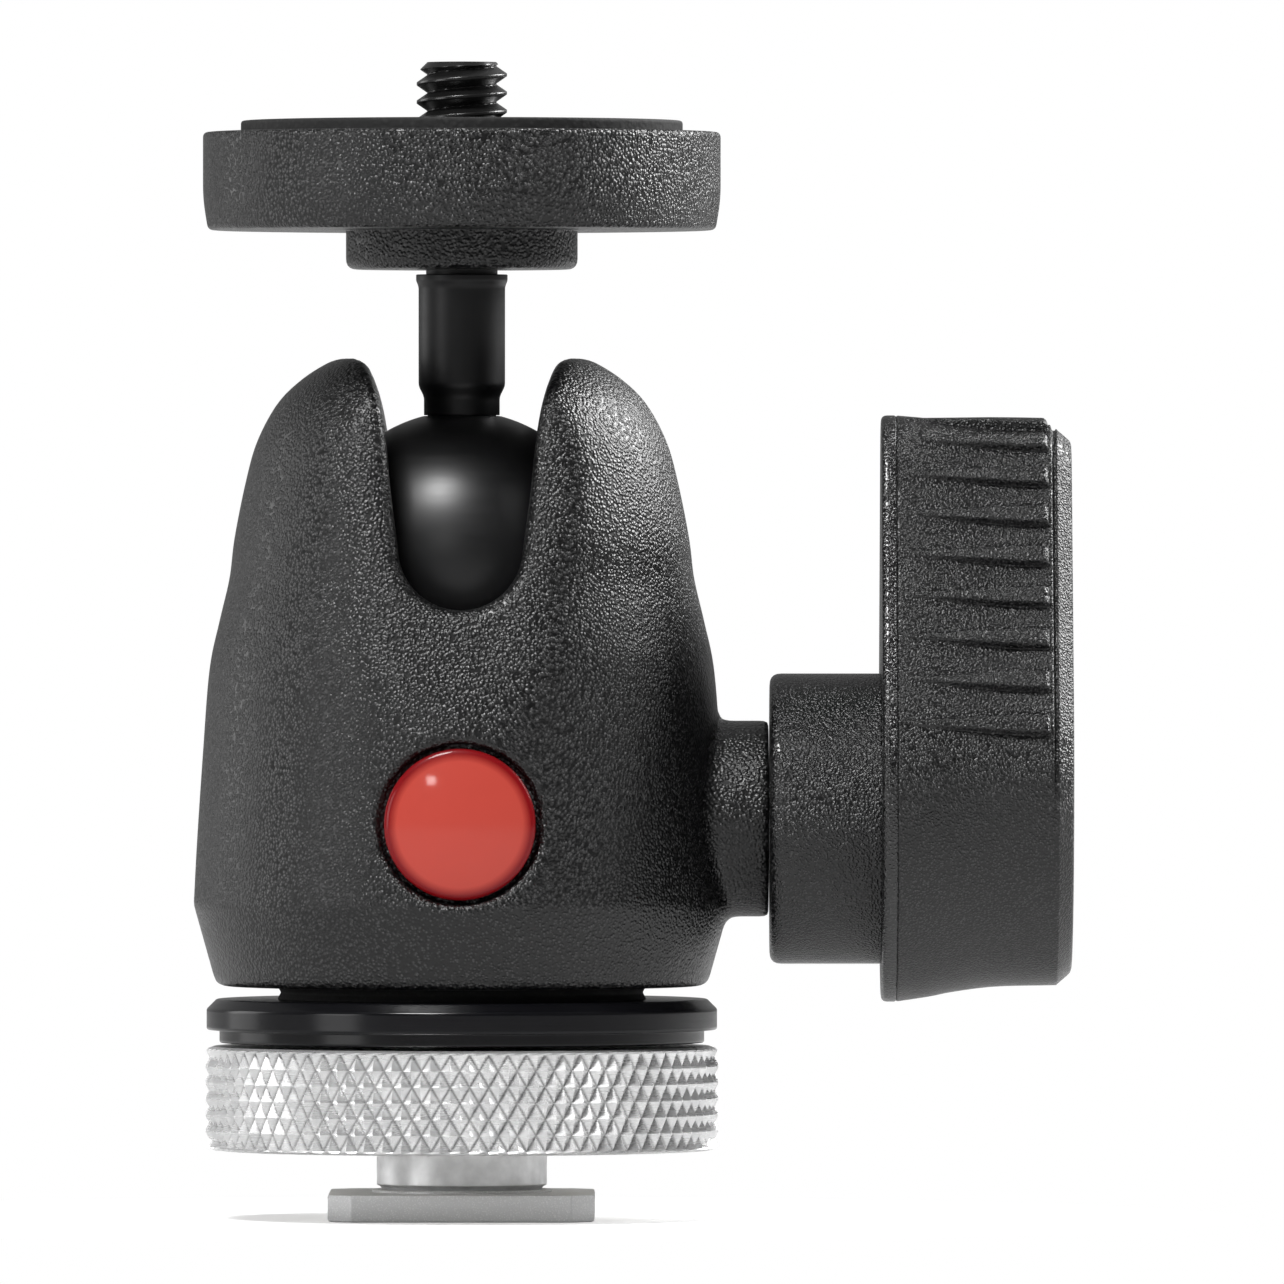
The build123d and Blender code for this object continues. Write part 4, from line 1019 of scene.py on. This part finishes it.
def knurled_ring(name):
    """A ring whose outer wall is a band of pyramids between two plain bevels.

    Column a of row k holds a groove crossing when a + k is even and the middle of a diamond
    when it is odd. Crossings lie at radius R - depth and diamond middles at R. A middle has
    four tips, moved towards its four neighbouring crossings by a share of the way, and each
    side of the pyramid runs from two tips to two crossings.
    """
    columns = 2 * KNURL_STARTS
    step_a = 2 * math.pi / columns
    step_z = (KNURL_HIGH - KNURL_LOW) / KNURL_ROWS
    every = np.arange(columns)
    points, quads, triangles, total = [], [], [], 0

    def place(a, radius, height):
        """Keep the points at columns a and give back their numbers."""
        nonlocal total
        angle = a * step_a
        spots = np.stack([radius * np.cos(angle), radius * np.sin(angle), height + 0 * angle], -1)
        points.append(spots.reshape(-1, 3))
        total += spots[..., 0].size
        return np.arange(total - spots[..., 0].size, total).reshape(spots.shape[:-1])

    def row_z(k):
        return KNURL_LOW + k * step_z

    def band(first, second):
        """The faces between two whole rings of points."""
        return np.stack([first, second, np.roll(second, -1), np.roll(first, -1)], 1)

    a, k = np.meshgrid(every, np.arange(KNURL_ROWS + 1), indexing="ij")
    a, k = a.ravel(), k.ravel()
    crossing = (a + k) % 2 == 0
    low_id = np.full((columns, KNURL_ROWS + 1), -1)
    low_id[a[crossing], k[crossing]] = place(a[crossing], KNURL_R - KNURL_DEPTH, row_z(k[crossing]))

    # whole diamonds: the middle lies between four crossings
    inner = (~crossing) & (k > 0) & (k < KNURL_ROWS)
    moves = np.array([(-1, 0), (0, -1), (1, 0), (0, 1)])
    inner_a, inner_k = a[inner][:, None], k[inner][:, None]
    tip_id = place(inner_a + TIP * moves[:, 0], KNURL_R, row_z(inner_k + TIP * moves[:, 1]))
    ring_id = low_id[(inner_a + moves[:, 0]) % columns, inner_k + moves[:, 1]]
    for n in range(4):
        m = (n + 1) % 4
        quads.append(np.stack([ring_id[:, n], ring_id[:, m], tip_id[:, m], tip_id[:, n]], 1))
    quads.append(tip_id)

    # half diamonds along both rims, and the bevels beyond them
    ends = []
    for row, inward, bevel in KNURL_RIMS:
        on_crossing = (every + row) % 2 == 0
        middle = every[~on_crossing]
        edge_tip = place(middle, KNURL_R - RIM_DROP, row_z(row))
        left, right = low_id[(middle - 1) % columns, row], low_id[(middle + 1) % columns, row]
        apex = low_id[middle, row + inward]
        triangles.append(np.stack([left, apex, edge_tip], 1)[:, ::inward])
        triangles.append(np.stack([apex, right, edge_tip], 1)[:, ::inward])
        chain = np.empty(columns, int)
        chain[on_crossing] = low_id[every[on_crossing], row]
        chain[~on_crossing] = edge_tip
        for radius, z in bevel:
            outer, chain = chain, place(every, radius, z)
            quads.append(band(outer, chain)[:, ::inward])
        ends.append(chain)

    # the plain inside: washer recess, bore and flat top
    chain, top = ends
    for radius, z in RING_INSIDE:
        outer, chain = chain, place(every, radius, z)
        quads.append(band(outer, chain))
    quads.append(band(chain, top))
    faces = np.concatenate(quads), np.concatenate(triangles)
    return make_mesh(name, np.concatenate(points), *faces, sharp=12.0)


ring = knurled_ring("knurled_ring")
dress(ring, "clamp_ring", "bare_aluminium", ALUMINIUM, "clamp_ring")

# %% [markdown]
# ## Painted shade in the grooves
#
# The floors of the grooves are painted darker, as painted shade where the pyramids shade
# the grooves between them, while the tips of the pyramids keep the metal's colour. The
# share of the way up a pyramid comes from the distance to the ring's axis, so the metal's
# colour is multiplied by a tone that depends on it. Only the knurled band is darkened, not
# the bevels.

# %% Painted shade in the grooves
# Painted shade: the knurled band is darker towards the groove floors and keeps the metal's colour
# on the pyramid tips.
GROOVE_SHADE_TONE, GROOVE_SHADE_SHARE = 0.54, 0.27
metal = ALUMINIUM.node_tree
metal_shader = metal.nodes["Principled BSDF"]
metal_colour = metal_shader.inputs["Base Color"].links[0].from_socket
metal_place = add(metal, "ShaderNodeTexCoord").outputs["Object"]
metal_height = add(metal, "ShaderNodeSeparateXYZ", inputs={"Vector": metal_place}).outputs["Z"]
in_band = add(
    metal,
    "ShaderNodeMath",
    {1: (KNURL_LOW + KNURL_HIGH) / 2 * MM, 2: (KNURL_HIGH - KNURL_LOW) / 2 * MM},
    {0: metal_height},
    operation="COMPARE",
)
band_shade_floor = add(
    metal,
    "ShaderNodeMath",
    {1: GROOVE_SHADE_TONE - 1, 2: 1.0},
    {0: in_band.outputs[0]},
    operation="MULTIPLY_ADD",
)
sideways = add(
    metal, "ShaderNodeVectorMath", {1: (1, 1, 0)}, {0: metal_place}, operation="MULTIPLY"
)
groove_shade = spread(
    metal,
    length_of(metal, sideways.outputs[0]),
    GROOVE_SHADE_TONE,
    1.0,
    start=(KNURL_R - KNURL_DEPTH) * MM,
    end=(KNURL_R - (1 - GROOVE_SHADE_SHARE) * KNURL_DEPTH) * MM,
)
metal.links.new(band_shade_floor.outputs[0], groove_shade.node.inputs["To Min"])
# painted shade in the grooves multiplies the metal's colour
groove_shaded_colour = add(
    metal,
    "ShaderNodeVectorMath",
    inputs={0: metal_colour, "Scale": groove_shade},
    operation="SCALE",
)
metal.links.new(groove_shaded_colour.outputs[0], metal_shader.inputs["Base Color"])

# %% [markdown]
# ## Knob
#
# The knob is a round hub and a teardrop grip. The grip's outline is two circles joined by
# straight flanks. Going outwards along the axis the outline draws in by up to a little over
# a millimetre, which leaves a waist for the fingers, and round the nose a row of wedges
# fills the waist again. So the grip is one surface of two parameters: the distance round
# the outline and the distance along the axis. Each point is moved inwards by the waist and
# outwards again by the rib, if it lies on one.

# %% Hub and cap
hub = turned(
    "knob_hub_moulding",
    [
        (3.97, 21.52, 0),
        (10.15, 21.52, 0.8),
        (10.15, 29.3, 0.06),
        (6.0, 29.3, 0),
        (6.0, 37.2, 0),
        (3.02, 37.2, 0),
        (3.02, 24.0, 0),
        (3.97, 24.0, 0),
    ],
    along="X",
    centre=(0.0, LOCK_Z),
    around=224,
    hollow=True,
)
dress(hub, "knob", "hub_plastic", HUB, "knob_hub")

CAP_CORNERS = [
    (AXIS, 41.35, 0),
    (8.7, 41.35, 0.1),
    (8.7, 42.45, 0.3),
    (7.4, 42.45, 0.1),
    (7.2, 42.3, 0.1),
    (AXIS, 42.3, 0),
]
cap = turned("knob_cap_disc", CAP_CORNERS, along="X", centre=(0.0, LOCK_Z), around=224)
dress(cap, "knob", "cap_plastic", CAP_FINISH, "knob_cap")

# %% Teardrop outline
LOBE_R, LOBE_RISE, NOSE_R, NOSE_RISE = 15.0, 2.2, 6.0, 22.2
lean = math.asin((LOBE_R - NOSE_R) / (NOSE_RISE - LOBE_RISE))
nose_arc = NOSE_R * (math.pi / 2 - lean)
flank = (NOSE_RISE - LOBE_RISE) * math.cos(lean)
lobe_arc = LOBE_R * (math.pi / 2 + lean)
half_round = nose_arc + flank + lobe_arc
RIBS, RIB_SPACING, RIB_SPREAD = 9, 2.90, 0.029
GROOVE_POINTS, SIDE_POINTS, CREST_POINTS, PLAIN_POINTS, DENSER = 8, 9, 4, 190, 1.7
RIB_WIDTH, RIB_FLANK, RIB_START, RIB_TAPER, RIB_STOP = 1.02, 0.24, 31.0, 8.0, 40.95
RIB_POINT = 0.03  # share of the crest's width where a rib starts


def teardrop(s, inset):
    """Points (y, z) at distance s from the nose's top, moved inwards by inset.

    The direction turns at 1 / nose radius, stays fixed along the flank, and turns at
    1 / lobe radius. Every point is its circle's centre plus (radius - inset) times the
    outward direction, and on the flank the centre slides from the nose to the lobe.
    """
    d = np.abs(s)
    angle = math.pi / 2 - np.minimum(d, nose_arc) / NOSE_R
    angle = angle - np.maximum(d - nose_arc - flank, 0) / LOBE_R
    part = np.clip((d - nose_arc) / flank, 0, 1)
    radius = NOSE_R + (LOBE_R - NOSE_R) * part - inset
    centre = NOSE_RISE + (LOBE_RISE - NOSE_RISE) * part
    y = radius * np.cos(angle) * np.sign(s + 1e-12)
    return np.stack([y, LOCK_Z + centre + radius * np.sin(angle)], -1)


def rib_half(x):
    """Half the crest width of a rib at x: it grows evenly from RIB_POINT over RIB_TAPER."""
    return RIB_WIDTH / 2 * np.clip((x - RIB_START) / RIB_TAPER, RIB_POINT, 1)


def along_ribs(count):
    """Distance from the nose's top after a number of ribs, which widen out down the flank."""
    return RIB_SPACING * count + RIB_SPREAD * count**2


def stations(x):
    """Distances s of the points round the outline at x, close together on the ribs' sides.

    Each rib has the same stations: across the groove, denser towards the rib, down the side,
    over the crest and back. They move apart as the rib widens, so that rows of points
    follow its edges. The rest of the outline has plain, even steps.
    """
    half = rib_half(x)
    near, middle, far = (along_ribs(np.arange(RIBS) + part)[:, None] for part in (0, 0.5, 1))
    foot = half + RIB_FLANK
    t = np.linspace(0, 1, GROOVE_POINTS)
    denser, even = 1 - (1 - t[:-1]) ** DENSER, np.linspace(0, 1, SIDE_POINTS)
    upper = [near + (middle - foot - near) * denser, middle - foot + RIB_FLANK * even[:-1]]
    crest = [middle + np.linspace(-half, half, CREST_POINTS)]
    lower = [middle + half + RIB_FLANK * even[1:], far - (far - middle - foot) * denser[:0:-1]]
    ribbed = np.concatenate(upper + crest + lower, 1).ravel()
    edge = along_ribs(RIBS)
    plain = np.linspace(edge, 2 * half_round - edge, PLAIN_POINTS)[:-1]
    return np.concatenate([[-edge], -ribbed[:0:-1], ribbed, plain])


def grip_ring(x, inset):
    """The teardrop at distance x along the axis."""
    s = (stations(x) + half_round) % (2 * half_round) - half_round
    return np.concatenate([np.full((len(s), 1), x), teardrop(s, inset)], 1)


def round_ring(x, radius):
    """A circle about the knob's axis whose points lie in line with the teardrop's."""
    outline = grip_ring(x, 0.0)[:, 1:] - np.array([0, LOCK_Z])
    unit = outline / np.hypot(outline[:, 0], outline[:, 1])[:, None]
    return np.concatenate([np.full((len(unit), 1), x), unit * radius + np.array([0, LOCK_Z])], 1)


# %% Back plate
BACK_START, GRIP_START, BORE_R = 29.3, 30.35, 6.02
back_corners = [(BACK_START, 4.0, 0), (BACK_START, 0.0, 0.9), (30.22, 0.0, 0.0)]
back_rings = [round_ring(BACK_START, BORE_R)]
back_rings += [grip_ring(x, inset) for x, inset in eased(back_corners, closed=False)]
back_rings += [grip_ring(30.29, 0.02), grip_ring(GRIP_START, 0.07), round_ring(GRIP_START, BORE_R)]
knob_back = join_rings("knob_back_plate", back_rings, hollow=True)
dress(knob_back, "knob", "knob_plastic", BACK, "knob_back")

# %% Grip with ribs
WAIST_X = np.array([0.0, 2.3, 4.1, 7.0, 11.2]) + GRIP_START
WAIST_IN = np.array([0.0, 0.35, 0.7, 1.05, 1.15])
NOSE_GROOVE, NOSE_RIM, NOSE_REACH, NOSE_FADE = 0.58, 0.82, 27.0, 9
CREST_IN, CREST_DROP, CREST_FROM = 0.03, 0.08, 37
MOAT, MOAT_FROM, MOAT_OFF, MOAT_WIDTH = 0.06, 34, 0.05, 0.16
NECK, RIB_ROUND, FADE = 0.4, 0.38, 4
# (x, share of NECK), then (x, distance in from the waist), then (x, radius) in the cap's seat
NECK_ROWS = (41.16, 0.1), (41.24, 0.8), (41.32, 1.0), (41.46, 1.0), (41.54, 0.7)
RIM_ROWS = (41.58, 0.02), (41.66, 0.1), (42.35, 0.7), (42.52, 0.88), (42.6, 1.13)
SEAT_ROWS = (42.6, 8.9), (42.45, 8.72), (41.35, 8.72), (41.35, 8.0), (37.2, 8.0), (37.2, BORE_R)


def waist(x):
    """How far the outline draws in at x: a smooth curve through the points of WAIST."""
    path = smooth_path(np.stack([WAIST_X, WAIST_IN], 1), 12)
    return np.interp(x, path[:, 0], path[:, 1])


def from_nose(x):
    """Distance of each station of x from the nose's top, the shorter way round."""
    s = stations(x)
    return np.where(s > half_round, 2 * half_round - s, np.abs(s))


def on_nose(x):
    """1 round the nose and down to the last rib, 0 on the lobe, and smooth between."""
    t = np.clip((from_nose(x) - NOSE_REACH) / NOSE_FADE, 0, 1)
    return 1 - t * t * (3 - 2 * t)


def groove_floor(x):
    """Inset of the grooves: the waist, but shallower round the nose."""
    return waist(x) * (1 - (1 - NOSE_GROOVE) * on_nose(x))


def rib_inset(x):
    """Inset of the ribbed flank at each station of x.

    A rib is full between its edges and falls over RIB_FLANK to the groove beside it, along
    the curve 1 - (1 - f)^2, so its back is round and its foot is steep. Its crest lies
    CREST_IN inside the full outline, dropping a little outwards, and its outer end is
    rounded over its last RIB_ROUND. A narrow moat of depth MOAT e^-(g / MOAT_WIDTH)^2 lies
    beside its foot, g being the distance to the moat's middle.
    """
    off = np.abs(from_nose(x)[:, None] - along_ribs(np.arange(RIBS) + 0.5)).min(1)
    fill = np.clip((rib_half(x) + RIB_FLANK - off) / RIB_FLANK, 0, 1)
    fill = 1 - (1 - fill) ** 2
    end = np.clip((x - RIB_STOP) / RIB_ROUND + 1, 0, 1)
    fill = fill * math.sqrt(1 - end * end)
    floor = groove_floor(x)
    crest = np.minimum(CREST_IN + CREST_DROP * np.clip((x - CREST_FROM) / FADE, 0, 1), floor)
    moat = np.exp(-(((off - rib_half(x) - RIB_FLANK - MOAT_OFF) / MOAT_WIDTH) ** 2))
    depth = MOAT * np.clip((x - MOAT_FROM) / FADE, 0, 1) * moat * (off < RIB_SPACING)
    return floor + depth * (1 - fill) + (crest - floor) * fill


rib_rows = np.linspace(GRIP_START + 0.14, RIB_STOP - RIB_ROUND - 0.15, 48)
rib_end = RIB_STOP - RIB_ROUND * (1 - np.sin(np.linspace(0, math.pi / 2, 8)))
grip_rings = [round_ring(GRIP_START, BORE_R), grip_ring(GRIP_START, 0.12)]
grip_rings.append(grip_ring(GRIP_START + 0.05, 0.04))
for x in np.concatenate([rib_rows, rib_end, [41.02, 41.1]]):
    grip_rings.append(grip_ring(x, rib_inset(x)))
# a neck behind the ribs' ends, then the rim with its bevel, then the seat of the cap
for x, share in NECK_ROWS:
    grip_rings.append(grip_ring(x, groove_floor(x) + NECK * share * on_nose(x)))
for x, extra in RIM_ROWS:
    rim = WAIST_IN[-1] * (1 - (1 - NOSE_RIM) * on_nose(x))
    grip_rings.append(grip_ring(x, rim + extra))
grip_rings += [round_ring(x, radius) for x, radius in SEAT_ROWS]
grip = join_rings("knob_grip_moulding", grip_rings, hollow=True, sharp=82.0)
dress(grip, "knob", "knob_plastic", GRIP, "knob_grip")

# %% [markdown]
# ## Inner pieces
#
# The lock's wedge pin, bush, plunger and cup and the screws keep their CAD shapes, which
# are right as they are. They only need the finish of their metal or plastic.

# %% Finishes for the carried-over solids
INNER = {
    "base_plug": SPINDLE,
    "foot_screw": STEEL,
    "lock_bush": BRASS,
    "wedge_pin": STEEL,
    "plunger": SPINDLE,
    "ball_cup": NYLON,
    "lock_stud": STEEL,
    "knob_washer": STEEL,
    "knob_bolt": STEEL,
    "clamp_washer": NYLON,
}
for node, finish in INNER.items():
    solid = bpy.data.objects[node]
    for entry in solid.material_slots:
        entry.material = finish
